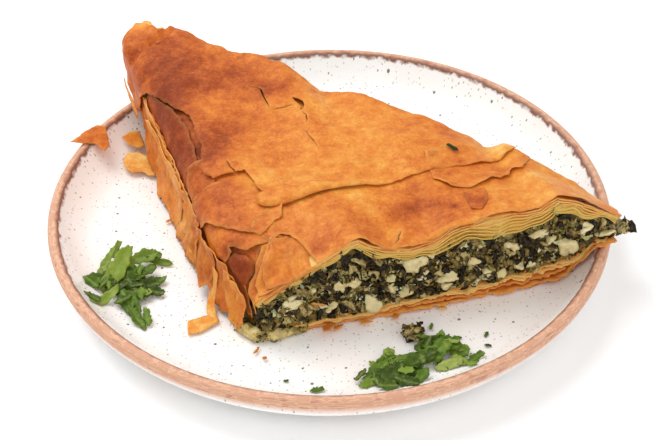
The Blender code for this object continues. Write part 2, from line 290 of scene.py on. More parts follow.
def baked(piece):
    # the piece as a plain mesh, with its modifiers' result
    graph = bpy.context.evaluated_depsgraph_get()
    mesh = bpy.data.meshes.new_from_object(piece.evaluated_get(graph), depsgraph=graph)
    piece.modifiers.clear()
    piece.data = mesh
    return piece


def remeshed(piece, voxel):
    # one closed even skin over everything in the piece, ready for its material
    fine = piece.modifiers.new("even", "REMESH")
    fine.mode = "VOXEL"
    fine.voxel_size = voxel * mm
    mesh = baked(piece).data
    mesh.materials.clear()
    return mesh


def hand(piece, slot, *nodes):
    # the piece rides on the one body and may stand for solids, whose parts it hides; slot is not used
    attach(piece, "root")
    if nodes:
        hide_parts(*nodes)
    print("made", piece.name, len(piece.data.polygons))


def wave(x, y, z, size):
    # smooth noise from -1 to 1 with lumps of that size
    return noise.noise(Vector((x / size, y / size, z / size)))


def waves(x, y, z, size):
    # the same for lists of places
    return np.array([wave(a, b, c, size) for a, b, c in np.broadcast(x, y, z)])


# camera, light and table
view = {"lens": 85, "sensor": 36, "place": (-0.0009, -0.4752, 0.3976), "aim": (-0.0009, 0.0126, 0),
        "roll": radians(-0.62)}
studio = {"world": 0.77, "keyPower": 4.0, "keySize": 0.6, "keyPlace": (-0.35, 0.25, 0.75),
          "fillPower": 1.8, "fillSize": 0.9, "fillPlace": (0.35, -0.75, 0.55), "lightAim": (0, 0, 0.02),
          "tableSize": 3000, "table": "FFFFFF"}


def aimAt(place, target, roll=0.0):
    turn = (Vector(target) - Vector(place)).to_track_quat("-Z", "Y").to_matrix().to_4x4()
    return Matrix.Translation(place) @ turn @ Matrix.Rotation(roll, 4, "Z")


def addLight(name, power, size, place):
    lamp = bpy.data.lights.new(name, "AREA")
    lamp.energy = power
    lamp.shape = "DISK"
    lamp.size = size
    sceneObject(name, lamp).matrix_world = aimAt(place, studio["lightAim"])


def makeStudio():
    camera = bpy.data.cameras.new("camera")
    camera.lens = view["lens"]
    camera.sensor_width = view["sensor"]
    scene.camera = sceneObject("camera", camera)
    scene.camera.matrix_world = aimAt(view["place"], view["aim"], view["roll"])
    scene.view_settings.view_transform = "Standard"

    world = bpy.data.worlds.new("softWhiteRoom")
    world.use_nodes = True
    world.node_tree.nodes["Background"].inputs["Color"].default_value = (1, 1, 1, 1)
    world.node_tree.nodes["Background"].inputs["Strength"].default_value = studio["world"]
    scene.world = world
    addLight("keyLight", studio["keyPower"], studio["keySize"], studio["keyPlace"])
    addLight("fillLight", studio["fillPower"], studio["fillSize"], studio["fillPlace"])

    half = studio["tableSize"]
    corners = [(-half, -half, 0), (half, -half, 0), (half, half, 0), (-half, half, 0)]
    floor = meshObject("tableTop", corners, [(0, 1, 2, 3)], smooth=False)
    painted = newMaterial("whiteTable", {"Roughness": 0.7, "Base Color": toLinear(studio["table"])})[0]
    floor.data.materials.append(painted)


# plate
glaze = {
    # speck spacing in mm, largest radius as a share of it, share of the cells that hold one, colour
    "specks": [(1.7, 0.24, 0.34, "D8CCBE"), (2.7, 0.136, 0.36, "A9988A"), (4.6, 0.088, 0.36, "7D6A5C"),
               (11, 0.0576, 0.5, "4B3F36")],
    "speckStrength": 0.85,
    # distances from the axis over which the glaze turns matt, the brown line starts and the clay follows
    "matt": (106.6, 107.3), "line": (106.2, 106.8), "band": (107.0, 108.4),
    # the clay tint reaching down the outer wall under the lip is partly bare clay and partly painted shade
    "clayAndShadeHeight": (12.5, 17.2),          # under the lip the white glaze comes back
    "clay": [(0.72, "B98167"), (0.88, "D19C7F"), (0.996, "E5B998"), (1.0, "D19C7E")],
}


def glazeMaterial():
    # thrown stoneware in a glossy white glaze: iron specks show through it, and it breaks to bare
    # peach clay on the lip with an uneven brown line where it stops
    material, tree, shader, place = newMaterial("speckledStonewareGlaze", {"Roughness": 0.22, "IOR": 1.5})
    cloud = addNode(tree, "ShaderNodeTexNoise", {"Scale": sized(45), "Detail": 2}, {"Vector": place})
    white = addNode(tree, "ShaderNodeValToRGB", {"stops": [(0.35, "FFFEFC"), (0.7, "FDF5F0")]},
                    {"Fac": cloud.outputs["Fac"]})
    colour = white.outputs["Color"]
    for spacing, radius, share, tint in glaze["specks"]:
        cells = addNode(tree, "ShaderNodeTexVoronoi", {"voronoi_dimensions": "2D", "Scale": sized(spacing)},
                        {"Vector": place})
        chosen = addNode(tree, "ShaderNodeSeparateColor", None, {"Color": cells.outputs["Color"]})
        wanted = addNode(tree, "ShaderNodeMath", {"operation": "LESS_THAN", 1: share},
                         {0: chosen.outputs["Red"]})
        size = addNode(tree, "ShaderNodeMath", {"operation": "MULTIPLY", 1: radius},
                       {0: chosen.outputs["Green"]})
        spot = addNode(tree, "ShaderNodeMath", {"operation": "LESS_THAN"},
                       {0: cells.outputs["Distance"], 1: size.outputs[0]})
        mask = addNode(tree, "ShaderNodeMath", {"operation": "MULTIPLY"},
                       {0: spot.outputs[0], 1: wanted.outputs[0]})
        mask = addNode(tree, "ShaderNodeMath", {"operation": "MULTIPLY", 1: glaze["speckStrength"]},
                       {0: mask.outputs[0]})
        colour = addNode(tree, "ShaderNodeMix", {"data_type": "RGBA", 7: toLinear(tint)},
                         {0: mask.outputs[0], 6: colour}).outputs[2]
    # distance from the plate's axis, wobbled, drives the bare rim
    parts = addNode(tree, "ShaderNodeSeparateXYZ", None, {"Vector": place})
    flat = addNode(tree, "ShaderNodeCombineXYZ", None, {"X": parts.outputs["X"], "Y": parts.outputs["Y"]})
    radius = addNode(tree, "ShaderNodeVectorMath", {"operation": "LENGTH"}, {0: flat.outputs[0]})
    wobble = addNode(tree, "ShaderNodeTexNoise", {"Scale": sized(3.2), "Detail": 4}, {"Vector": place})
    shift = addNode(tree, "ShaderNodeMath", {"operation": "MULTIPLY_ADD", 1: 2.4 * mm},
                    {0: wobble.outputs["Fac"], 2: radius.outputs["Value"]})
    matt, line, band, height = [
        addNode(tree, "ShaderNodeMapRange", {"From Min": glaze[key][0] * mm, "From Max": glaze[key][1] * mm},
                {"Value": source})
        for key, source in (("matt", shift.outputs[0]), ("line", shift.outputs[0]),
                            ("band", shift.outputs[0]), ("clayAndShadeHeight", parts.outputs["Z"]))]
    clayNoise = addNode(tree, "ShaderNodeTexNoise", {"Scale": sized(5), "Detail": 3}, {"Vector": place})
    ringPlace = addNode(tree, "ShaderNodeCombineXYZ", None, {"X": shift.outputs[0], "Z": parts.outputs["Z"]})
    rings = addNode(tree, "ShaderNodeTexNoise", {"Scale": sized(1.1), "Detail": 2},
                    {"Vector": ringPlace.outputs[0]})
    mixed = addNode(tree, "ShaderNodeMath", {"operation": "ADD"},
                    {0: clayNoise.outputs["Fac"], 1: rings.outputs["Fac"]})
    clay = addNode(tree, "ShaderNodeValToRGB", {"stops": glaze["clay"]}, {"Fac": mixed.outputs[0]})
    brownRim = addNode(tree, "ShaderNodeMix", {"data_type": "RGBA", 6: toLinear("8A5A47")},
                       {0: band.outputs["Result"], 7: clay.outputs["Color"]})
    # bare clay on the lip, and under it a fade that is partly painted shade
    bareClayAndShade = addNode(tree, "ShaderNodeMath", {"operation": "MULTIPLY"},
                   {0: line.outputs["Result"], 1: height.outputs["Result"]})
    colour = addNode(tree, "ShaderNodeMix", {"data_type": "RGBA"},
                     {0: bareClayAndShade.outputs[0], 6: colour, 7: brownRim.outputs[2]}).outputs[2]
    rough = addNode(tree, "ShaderNodeMapRange", {"To Min": 0.2, "To Max": 0.6},
                    {"Value": matt.outputs["Result"]})
    ripple = addNode(tree, "ShaderNodeTexNoise", {"Scale": sized(6), "Detail": 2}, {"Vector": place})
    finishShader(tree, shader, colour, ripple, 0.12, 0.5, rough)
    return material


def makePlate():
    lipX, lipZ = plate["lipCentre"]
    profile = [(0.0, plate["wellHeight"]), (plate["flatRadius"], plate["wellHeight"])]
    profile += [(r, wellHeight(r)) for r in
                np.linspace(plate["wellRadius"] - plate["wallStart"], lipStartR, plate["wallRings"])[:-1]]
    profile += [(lipX + plate["lipRadius"] * cos(angle), lipZ + plate["lipRadius"] * sin(angle))
                for angle in np.linspace(plate["lipStart"], plate["lipEnd"], plate["lipRings"])]
    profile += [(r, wellHeight(r - plate["underShift"]) - plate["wall"]) for r in
                np.linspace(lipX + 1, plate["wellRadius"] + plate["underShift"], plate["underRings"])]
    under = plate["wellHeight"] - plate["wall"]
    foot = plate["footRadius"]
    profile += [(foot + out, under - down) for out, down in plate["footProfile"]]
    profile += [(foot - plate["footTaper"], 0.0), (0.0, 0.0)]
    mesh = bpy.data.meshes.new("stoneware_plate")
    mesh.from_pydata([(r * mm, 0, z * mm) for r, z in profile],
                     [(i, i + 1) for i in range(len(profile) - 1)], [])
    piece = sceneObject("stoneware_plate", mesh)
    turn = piece.modifiers.new("turn", "SCREW")
    turn.axis = "Z"
    turn.steps = plate["steps"]
    turn.render_steps = plate["steps"]
    turn.use_merge_vertices = True
    turn.merge_threshold = 0.00001
    turn.use_smooth_shade = True
    baked(piece)
    piece.data.materials.clear()
    piece.data.materials.append(glazeMaterial())
    hand(piece, "stoneware", "plate")


# filo
filo = {
    "leaf": 0.32, "leafEnd": 0.42,       # thickness of one baked leaf, and of its end at a cut
    "grid": 1.35,                        # spacing of the mesh inside a leaf
    "edgeStep": 0.75,                    # spacing along its torn edge
    "endStep": 0.8,                      # spacing along a cut
    "paleWidth": 0.5,                    # how far the pale rim of a torn edge reaches
    "baked": 0.42,                       # how brown the crust is between the patches
    # (s or w, t, radius, amount): where the oven browned the crust most
    "browned": [(2, 138, 24, 0.30), (8, 118, 17, 0.20), (30, 110, 15, 0.24), (37, 98, 8, 0.22),
                (-8, 92, 14, 0.34), (-8, 70, 15, 0.34), (-6, 45, 14, 0.26), (-5, 110, 14, 0.26),
                (-2, 22, 9, 0.16), (12, 79, 8, 0.20), (5, 68, 8, 0.18), (61, 14, 8, 0.17), (71, 16, 9, 0.2),
                (77, 10, 7, 0.15), (24.5, 5.2, 3.2, 0.30), (88, 10, 4.5, 0.24), (100, 27, 9, 0.10),
                (42, 16, 13, 0.08), (24, 76, 14, 0.08), (-4, 14, 7, 0.36), (79, 10.4, 1.2, 0.3)],
    # the same for places that stayed pale
    "pale": [(50, 45, 22, 0.10), (110, 42, 8, 0.3), (82, 13, 3, 0.12), (46, 20, 9, 0.1), (18, 45, 9, 0.16),
             (60, 75, 16, 0.08), (112, 14, 20, 0.16), (2, 158, 4, 0.4)],
    # size of the blotches in mm, how strongly they darken or pale the crust, detail
    "blotches": [(13, 0.62, 4), (4.2, 0.62, 5), (1.2, 0.42, 4)], "streaks": 0.12,
    "colours": [(0.0, "EFC271"), (0.2, "E39D45"), (0.36, "DA8432"), (0.5, "CC7029"), (0.64, "B85B20"),
                (0.8, "9A4317"), (1.0, "7E310F")],
    "soaked": "CDB052", "tornEdge": "EDB566", "blister": "E5A55E",
}


def browning(w, t):
    # 0.5 is golden, 1 is dark brown and 0 is barely baked
    amount = np.full(np.shape(w), filo["baked"])
    for sign, patches in ((1, filo["browned"]), (-1, filo["pale"])):
        for a, b, radius, depth in patches:
            amount = amount + sign * depth * np.exp(-((w - a) ** 2 + (t - b) ** 2) / radius ** 2)
    return amount


def tornLoop(outline, ragged, seed):
    # An outline's points joined by a torn edge. A third number in a point is the raggedness of
    # the stretch that follows it.
    loop = []
    for i, start in enumerate(outline):
        end = outline[(i + 1) % len(outline)]
        rough = start[2] if len(start) > 2 else ragged
        a, b = Vector(start[:2]), Vector(end[:2])
        length = (b - a).length
        side = Vector((b.y - a.y, a.x - b.x)).normalized() if length else Vector((0, 0))
        count = max(1, round(length / filo["edgeStep"]))
        for k in range(count):
            p = a.lerp(b, k / count)
            shift = (wave(p.x, p.y, seed, 5.5) + 0.7 * wave(p.x, p.y, seed + 7, 2.1)
                     + 0.45 * wave(p.x, p.y, seed + 13, 0.9))
            fade = min(1.0, k * filo["edgeStep"] / 2, (count - k) * filo["edgeStep"] / 2) if i else 1.0
            loop.append(p + side * shift * rough * max(fade, 0.25))
    return loop


def insideLoop(points, loop):
    # which of the points lie inside a closed loop
    inside = np.zeros(len(points), bool)
    x, y = points[:, 0], points[:, 1]
    for i in range(len(loop)):
        ax, ay = loop[i - 1]
        bx, by = loop[i]
        if ay == by:
            continue
        crosses = (ay > y) != (by > y)
        inside ^= crosses & (x < (bx - ax) * (y - ay) / (by - ay) + ax)
    return inside


def fillLoop(loop, holes, grid, seed):
    # flat triangles inside a loop and outside its holes, with each point's distance to the edge
    rng = np.random.default_rng(seed)
    edge = np.array([tuple(p) for p in loop])
    low, high = edge.min(0), edge.max(0)
    xs, ys = np.meshgrid(np.arange(low[0], high[0], grid), np.arange(low[1], high[1], grid * 0.87))
    xs = xs + (np.arange(len(xs)) % 2)[:, None] * grid / 2
    inner = np.stack([xs.ravel(), ys.ravel()], axis=1)
    inner += rng.uniform(-0.22, 0.22, inner.shape) * grid
    inner = inner[insideLoop(inner, edge)]
    for hole in holes:
        inner = inner[~insideLoop(inner, np.array(hole))]
    tree = kdtree.KDTree(len(edge) + sum(len(h) for h in holes))
    borders = [tuple(p) for p in loop] + [tuple(p) for hole in holes for p in hole]
    for i, p in enumerate(borders):
        tree.insert((p[0], p[1], 0), i)
    tree.balance()
    distance = np.array([tree.find((p[0], p[1], 0))[2] for p in inner]) if len(inner) else np.zeros(0)
    inner = inner[distance > grid * 0.45]
    points = [Vector(p) for p in borders] + [Vector(p) for p in inner]
    sides, start = [], 0
    for ring in [loop] + holes:
        sides += [(start + i, start + (i + 1) % len(ring)) for i in range(len(ring))]
        start += len(ring)
    points, _, faces, _, _, _ = geometry.delaunay_2d_cdt(points, sides, [], 1, 1e-4)
    flat = np.array([tuple(p) for p in points])
    middles = np.array([flat[list(f)].mean(0) for f in faces])
    keep = insideLoop(middles, edge)
    for hole in holes:
        keep &= ~insideLoop(middles, np.array(hole))
    faces = [f for f, wanted in zip(faces, keep) if wanted]
    distance = np.array([tree.find((p[0], p[1], 0))[2] for p in flat])
    return flat, faces, distance


def crackHole(path, width, seed):
    # a thin split along a path, widest in its middle
    left, right = [], []
    steps = np.linspace(0, len(path) - 1, max(4, 3 * len(path)))
    for i, step in enumerate(steps):
        k = min(int(step), len(path) - 2)
        a, b = Vector(path[k]), Vector(path[k + 1])
        p = a.lerp(b, step - k)
        side = Vector((b.y - a.y, a.x - b.x)).normalized()
        half = width / 2 * sin(pi * (0.06 + 0.88 * i / (len(steps) - 1)))
        half *= 0.8 + 0.5 * wave(p.x, p.y, seed, 1.5)
        drift = side * 0.35 * wave(p.x, p.y, seed + 3, 1.3)
        left.append(tuple(p + side * half + drift))
        right.append(tuple(p - side * half + drift))
    return left + right[::-1]


def wrinkles(w, t):
    # the crust's shared buckles, so that stacked leaves follow each other
    return 0.75 * waves(w, t, 0, 17) + 0.45 * waves(w, t, 5, 7.5) + 0.14 * waves(w, t, 9, 3.2)


def leafMesh(leaf, seed, surface):
    # One leaf of filo on a surface. lift is its height over the surface, curl how far its torn
    # edge lifts, dome how far its middle rises, raised lists (w, t, radius, height) of bumps.
    loop = tornLoop(leaf["outline"], leaf.get("ragged", 0.8), seed * 3.7)
    holes = [crackHole(path, width, seed + i) for i, (path, width) in enumerate(leaf.get("cracks", []))]
    flat, faces, distance = fillLoop(loop, holes, leaf.get("grid", filo["grid"]), seed)
    w, t = flat[:, 0], flat[:, 1]
    points, normals = surface(w, t)
    fade = np.exp(-distance / leaf.get("curlWidth", 2.2))
    along = 0.5 + 0.9 * waves(w, t, seed * 2.3, 9) + 0.3 * waves(w, t, seed, 3)
    own = 0.22 * waves(w, t, seed * 5.1, 6) + 0.10 * waves(w, t, seed * 1.7, 2.4)
    lift = leaf.get("lift", 0.0) + own + leaf.get("curl", 0.5) * fade * np.clip(along, -0.2, 1.6)
    lift += leaf.get("dome", 0.0) * (1 - np.exp(-distance / leaf.get("domeWidth", 2.0)))
    if leaf.get("buckled", True):
        lift += wrinkles(w, t)
    for a, b, radius, height in leaf.get("raised", []):
        lift += height * np.exp(-((w - a) ** 2 + (t - b) ** 2) / radius ** 2)
    for a, b, c, d, height, width in leaf.get("creases", []):
        span = np.array([c - a, d - b])      # a ridge or a valley from (a, b) to (c, d)
        share = np.clip(((w - a) * span[0] + (t - b) * span[1]) / (span @ span), 0, 1)
        lift += height * np.exp(-(np.hypot(w - a - share * span[0], t - b - share * span[1]) / width) ** 2)
    if "ribs" in leaf:
        a, b, count, depth = leaf["ribs"]    # wrinkles that fan out from a point
        angle = np.arctan2(t - b, w - a)
        grown = np.clip(np.hypot(w - a, t - b) / 6, 0, 1)
        lift += depth * np.sin(angle * count + 1.5 * np.sin(angle * 3)) * grown
    if "pleats" in leaf:
        spacing, depth = leaf["pleats"]      # folds that run down the wall
        lift += depth * np.sin(2 * pi * (t / spacing + waves(w, t, seed, 14) * 1.6))
    if "flare" in leaf:
        top, bottom, out = leaf["flare"]     # stands away from the wall towards its lower edge
        lift += out * np.clip((top - w) / (top - bottom), 0, 1.2) ** 1.6
    points = points + normals * lift[:, None]
    tone = leaf.get("tone")
    brown = browning(w, t) + leaf.get("tint", 0.0) if tone is None else np.full(len(w), tone)
    paleEdge = np.exp(-distance / filo["paleWidth"]) * leaf.get("paleEdge", 1.0)
    moist = np.full(len(w), leaf.get("moist", 0.0))
    return points, faces, {"browning": brown, "edgePale": paleEdge, "moist": moist}


def slabObject(name, spec, rowOf, values=None):
    # A closed slab from the front cut to the far end; rowOf(t, upper) gives one row of its points.
    # front is where it starts, trim how much shorter than the slice it is.
    length = pie["bodyLength"] - spec["trim"]
    places = [spec["front"] + length * j / spec["rows"] for j in range(spec["rows"] + 1)]
    points = np.concatenate([rowOf(t, upper) for upper in (True, False) for t in places])
    return meshObject(name, points, gridShell(spec["columns"], spec["rows"]), values and {
        key: np.full(len(points), value) for key, value in values.items()})


def joinParts(parts):
    # several (points, faces, values) as one
    points, faces, values, start = [], [], {}, 0
    for some, sides, numbers in parts:
        points.append(some)
        faces += [tuple(i + start for i in f) for f in sides]
        for key, value in numbers.items():
            values.setdefault(key, []).append(value)
        start += len(some)
    return np.concatenate(points), faces, {key: np.concatenate(value) for key, value in values.items()}


def sheetPiece(name, parts, thickness, material, slot, *nodes, offset=-1.0):
    # parts joined as one piece with a real thickness
    piece = meshObject(name, *joinParts(parts))
    wall = piece.modifiers.new("thickness", "SOLIDIFY")
    wall.thickness = thickness * mm
    wall.offset = offset
    wall.use_rim = True
    piece.data.materials.append(material)
    hand(piece, slot, *nodes)


def filoMaterial(name, dull=0.0):
    # brushed, oven-baked pastry leaves: glassy thin where pale, matt and mottled where browned,
    # paler along each torn edge, and green-yellow where the filling has soaked them
    material, tree, shader, place = newMaterial(name, {
        "Roughness": 0.5, "IOR": 1.45, "Specular IOR Level": 0.22, "Subsurface Weight": 0.12,
        "Subsurface Scale": 1.2 * mm})
    total, edge, moist = pointValues(tree, "browning", "edgePale", "moist")
    for size, weight, detail in filo["blotches"]:
        blotch = addNode(tree, "ShaderNodeTexNoise",
                         {"Scale": sized(size), "Detail": detail, "Roughness": 0.6}, {"Vector": place})
        total = mottled(tree, total, blotch, weight)
    turned = addNode(tree, "ShaderNodeMapping",
                     {"Rotation": (0, 0, -pie["frontAngle"]), "Scale": (0.18, 1, 1)}, {"Vector": place})
    streak = addNode(tree, "ShaderNodeTexNoise", {"Scale": sized(1.6), "Detail": 3},
                     {"Vector": turned.outputs[0]})
    total = mottled(tree, total, streak, filo["streaks"])
    baking = addNode(tree, "ShaderNodeValToRGB", {"stops": filo["colours"]}, {"Fac": total})
    soaked = addNode(tree, "ShaderNodeMix", {"data_type": "RGBA", 7: toLinear(filo["soaked"])},
                     {0: moist, 6: baking.outputs["Color"]})
    softer = addNode(tree, "ShaderNodeMath", {"operation": "MULTIPLY", 1: 0.3}, {0: edge})
    pale = addNode(tree, "ShaderNodeMix", {"data_type": "RGBA", 7: toLinear(filo["tornEdge"])},
                   {0: softer.outputs[0], 6: soaked.outputs[2]})
    # tiny pale blisters over the browned parts
    blister = addNode(tree, "ShaderNodeTexNoise", {"Scale": sized(0.9), "Detail": 2}, {"Vector": place})
    raised = addNode(tree, "ShaderNodeMapRange", {"From Min": 0.6, "From Max": 0.75, "To Max": 0.2},
                     {"Value": blister.outputs["Fac"]})
    flecked = addNode(tree, "ShaderNodeMix", {"data_type": "RGBA", 7: toLinear(filo["blister"])},
                      {0: raised.outputs["Result"], 6: pale.outputs[2]})
    rough = addNode(tree, "ShaderNodeMapRange",
                    {"From Min": 0.2, "From Max": 0.9, "To Min": 0.42 + dull, "To Max": 0.62},
                    {"Value": total})
    grain = addNode(tree, "ShaderNodeTexNoise", {"Scale": sized(1.1), "Detail": 4, "Roughness": 0.65},
                    {"Vector": place})
    finishShader(tree, shader, flecked.outputs[2], grain, 0.35, 0.35, rough)
    return material


def cornerSheet(size, lift, curl, ragged, ribs, tint, raised, **more):
    # one of the small rounded sheets at the front-left corner, which fan out round one another
    midW, midT = 19, 8
    outline = [(2.2, 1.5), (2.6, 5.2), (4.4, 8.4), (7.6, 11.4), (10, 14.6), (13, 16.6)]
    fanned = [(midW + (w - midW) * (2 * size - 1 if i < 2 else size), midT + (t - midT) * size)
              for i, (w, t) in enumerate(outline)]
    fanned += [(18.5, 14.5), (22, 9.5), (23.2, 4.6), (24.2, -0.8, 0.3), (20, -0.9, 0.3), (12, -0.9, 0.3),
               (5 - 26 * (size - 1), -0.6)]
    return {"outline": fanned, "lift": lift, "curl": curl, "ragged": ragged, "ribs": (19, 12, *ribs),
            "tint": tint, "raised": raised, **more}


# Each leaf's outline is in (w, t); the first ones lie lowest. A raggedness of 0.2 is a knife cut.
crustLeaves = [
    {"outline": [(1, -0.8, 0.3), (13, -0.8, 0.3), (60, -0.8, 0.3), (139, -0.5, 0.4), (141, 2, 0.4),
                 (137, 12, 0.4), (74, 81, 0.4), (8, 151.5, 1.2), (-12, 152, 1.2), (-28, 149), (-31, 138),
                 (-36, 120), (-37, 90), (-36, 60), (-35, 30), (-30, 15), (-19, 9), (-9, 5), (-3, 1)],
     "lift": -1.1, "curl": 0.2, "tint": 0.0, "grid": 1.7, "paleEdge": 0.3},
    # wrapped round the lower left, under the torn sheets
    {"outline": [(-17, 3), (-2, 10), (13, 9, 0.5), (24, 12, 0.5), (24, 45, 0.5), (6, 55, 0.5), (-12, 60),
                 (-18, 39.7), (-15.8, 33), (-17, 29), (-20, 24), (-24, 14)],
     "lift": -0.5, "curl": 0.7, "ragged": 1.0, "tint": 0.03},
    # the torn sheet with the dark reddish patch at its foot
    {"outline": [(-10.5, 20.7), (-10.3, 18.4), (-4.7, 17.7), (-2.7, 18.2), (-2.8, 19.9), (-1.1, 19.1),
                 (0.5, 17.2), (2.2, 15.7), (5.3, 15.8), (7.4, 15.4), (10.8, 15.3), (15, 18), (15, 40, 0.5),
                 (4, 50, 0.5), (-10, 52, 0.5), (-17.5, 41), (-15.8, 33), (-17, 29), (-16, 24.5)],
     "lift": 0.0, "curl": 1.3, "ragged": 0.7, "tint": -0.02, "raised": [(2, 19, 5, 0.7)]},
    # the dark patch that bulges over the corner
    {"outline": [(-8, 9.5), (-8.5, 14), (-5.5, 17.4), (-2, 17.4), (1.2, 14.5), (2.4, 11), (0.5, 8.6),
                 (-4, 7.6)],
     "lift": 0.5, "curl": 0.3, "dome": 1.3, "domeWidth": 2.6, "ragged": 0.6, "tint": 0.16, "paleEdge": 0.3,
     "ribs": (10, 12, 13, 0.4)},
    # the small sheets at the corner, wrinkled like fans, the widest and lowest first
    cornerSheet(1.36, -1.0, 0.7, 0.7, (11, 0.5), 0.16, [(-4, 4, 9, 1.2)]),
    cornerSheet(1.27, -0.8, 0.8, 0.7, (11, 0.5), -0.1, [(-4, 4, 9, 1.6)]),
    cornerSheet(1.18, -0.6, 0.9, 0.6, (12, 0.6), 0.14, [(-4, 4, 10, 1.9)]),
    cornerSheet(1.09, -0.4, 1.0, 0.6, (12, 0.6), -0.08, [(-4, 4, 11, 2.1)]),
    cornerSheet(1.0, -0.2, 1.1, 0.6, (12, 0.6), 0.0, [(-3, 4, 11, 2.3), (7, 9, 4, 0.8)], curlWidth=3.0),
    # the reddish strip left of the long tear
    {"outline": [(-8, 120), (-5.4, 113), (-2.4, 104.5), (-0.2, 95.4), (0.9, 87), (0.3, 75.6), (-1.2, 67),
                 (-3.2, 60), (-7, 53), (-15, 52), (-17.5, 62), (-18, 80), (-18.5, 100), (-17, 118),
                 (-12.5, 123)],
     "lift": -0.1, "curl": 0.55, "ragged": 0.7, "tint": 0.1, "paleEdge": 0.6},
    # the sheet below the big one
    {"outline": [(-10.9, 58.8), (-12.1, 54), (-15.2, 49.4), (-14.8, 40.2), (-11.2, 37.1), (-7.4, 35.1),
                 (-4.2, 30.4), (-1.9, 28), (-0.9, 26.8), (1.2, 24.9), (2.9, 23.1), (4.9, 21.3), (8, 18.8),
                 (18, 24, 0.4), (24, 40, 0.4), (20, 58, 0.4), (4, 64, 0.4), (-5, 66)],
     "lift": 0.55, "curl": 1.6, "ragged": 0.95, "raised": [(-3, 33, 6, 0.6)], "tint": 0.02},
    # the front band, from the arc at the corner to the right-hand tip
    {"outline": [(15.4, 31), (11.2, 29.3), (8.1, 26.3), (6.3, 23.2), (7.3, 19.6), (9.3, 16.6), (10.8, 15.3),
                 (14.6, 16.7), (17.8, 15), (20, 10.4), (21, 7.8), (21.6, 4.4), (22.7, -0.9, 0.25),
                 (60, -0.9, 0.25), (90, -0.9, 0.25), (140, -0.6, 0.35), (141, 3, 0.4), (110, 40, 0.4),
                 (76, 46, 0.4), (20, 44, 0.4)],
     "lift": 0.35, "curl": 1.1, "ragged": 0.6, "cracks": [([(57, 7), (54.5, 3.5), (52.3, 0.8)], 0.5)]},
    {"outline": [(84.4, 15.8), (84.2, 9.9), (83.5, 6.1), (86.7, 3.8), (91, 8.2), (93.2, 15.5), (89, 16.8)],
     "lift": 0.6, "curl": 0.3, "ragged": 0.3, "tint": 0.12, "paleEdge": 0.3},
    # the scale with a torn lower edge at the right
    {"outline": [(78.2, 33), (77.7, 27.4), (79.7, 25.5), (82, 21.5), (84.2, 19.5), (88.6, 17.8),
                 (94.4, 19.2), (98.8, 21.8), (101.5, 20.6), (105.9, 22.3), (108.3, 24.8), (112, 24),
                 (118, 31, 0.4), (113, 38, 0.4), (100, 46, 0.4), (80, 42, 0.4)],
     "lift": 0.8, "curl": 1.15, "ragged": 0.55, "tint": 0.02},
    # the big sheet over the back
    {"outline": [(-13.2, 124), (-8.5, 120, 1.0), (-4.9, 112, 1.1), (-1.5, 104, 1.1), (2.3, 95, 1.0),
                 (3.5, 87, 1.0), (2.8, 78, 1.0), (1.6, 69, 1.0), (-0.8, 61), (-0.2, 56), (1.8, 51.4),
                 (6.4, 52.2), (13, 52.7), (13.5, 48), (13.8, 41.7), (15.2, 37.8), (22, 36.5), (36, 34.5),
                 (50.7, 31.7), (58, 30.4), (64.1, 30.8), (78.3, 31.8), (94.1, 31.2), (102.4, 31.4),
                 (110.5, 34.4), (115, 37), (113, 40.5), (109, 42.6), (105.5, 47, 0.5), (90, 64.2, 0.5),
                 (68.4, 89, 0.6), (64, 92.4), (58.5, 96), (40, 119.6, 0.5), (20, 141.5), (12.8, 154),
                 (10, 152.5), (7, 152), (3, 158), (0.5, 161), (-6.5, 156.5), (-15, 151.5), (-22, 147),
                 (-27, 138), (-25, 130), (-20, 126.5)],
     "lift": 1.05, "curl": 1.15, "curlWidth": 2.8, "ragged": 0.6, "paleEdge": 0.35,
     "raised": [(2, 82, 7, 1.0), (3, 56, 6, 0.9), (16, 47, 7, 0.6), (-4, 112, 6, 0.6), (110, 38, 4, 0.9)],
     "creases": [(11.7, 151, 4, 146, -2.0, 2.0), (4, 146, -9, 141.5, -1.9, 2.2), (-1, 151, -8, 150, 1.0, 4),
                 (-6, 113.5, 9, 112, 0.8, 2.4), (9, 112, 33, 111, 0.7, 3.2), (60, 60, 98, 44, 0.6, 5)],
     "cracks": [([(30.4, 103.3), (34.3, 99), (34, 91), (34.2, 86.2)], 0.8),
                ([(34.5, 85.2), (39.6, 84.7), (44.4, 86)], 0.55),
                ([(44.5, 89.3), (46.2, 86.5), (46.4, 83.5), (45, 80.6)], 2.5),
                ([(45.4, 79.6), (45.7, 76.9), (44.9, 72.9)], 0.5),
                ([(42.2, 69.3), (42.9, 63.7), (43.5, 57)], 0.35),
                ([(7.9, 59.8), (8.7, 54.9), (9.5, 50.2)], 0.8)]},
    # a second loose corner at the far tip
    {"outline": [(-1.5, 158), (0, 161.5), (3.4, 163.8), (6.2, 161.4), (6.4, 158.4), (3.4, 156.8)],
     "lift": -0.9, "curl": 0.3, "ragged": 0.5, "tone": 0.1},
    # a pinched lip along the cut
    {"outline": [(61, 1.2), (67, 2.6), (73, 3.0), (79, 2.6), (83.5, 1.0), (84.2, -1.3), (80.5, -1.8),
                 (74, -1.3), (66, -0.6)],
     "lift": 0.7, "curl": 0.5, "dome": 1.0, "domeWidth": 1.0, "ragged": 0.35, "tint": -0.08,
     "paleEdge": 0.6},
    # the pale rolled flap over the big sheet's lower edge
    {"outline": [(13.6, 38), (12.2, 36), (11.8, 33.1), (13, 31.2), (15.4, 30.1), (20.8, 29), (28.6, 29.6),
                 (35.6, 30.6), (41.4, 31.6), (52, 30.9), (58, 30.2), (50, 33.4), (43, 35.5), (36.5, 36.6),
                 (29.1, 37.8), (21.9, 39.4), (17.5, 39.8)],
     "lift": 1.5, "curl": 0.2, "dome": 1.5, "domeWidth": 1.7, "ragged": 0.15, "tone": 0.33, "paleEdge": 0.3},
]

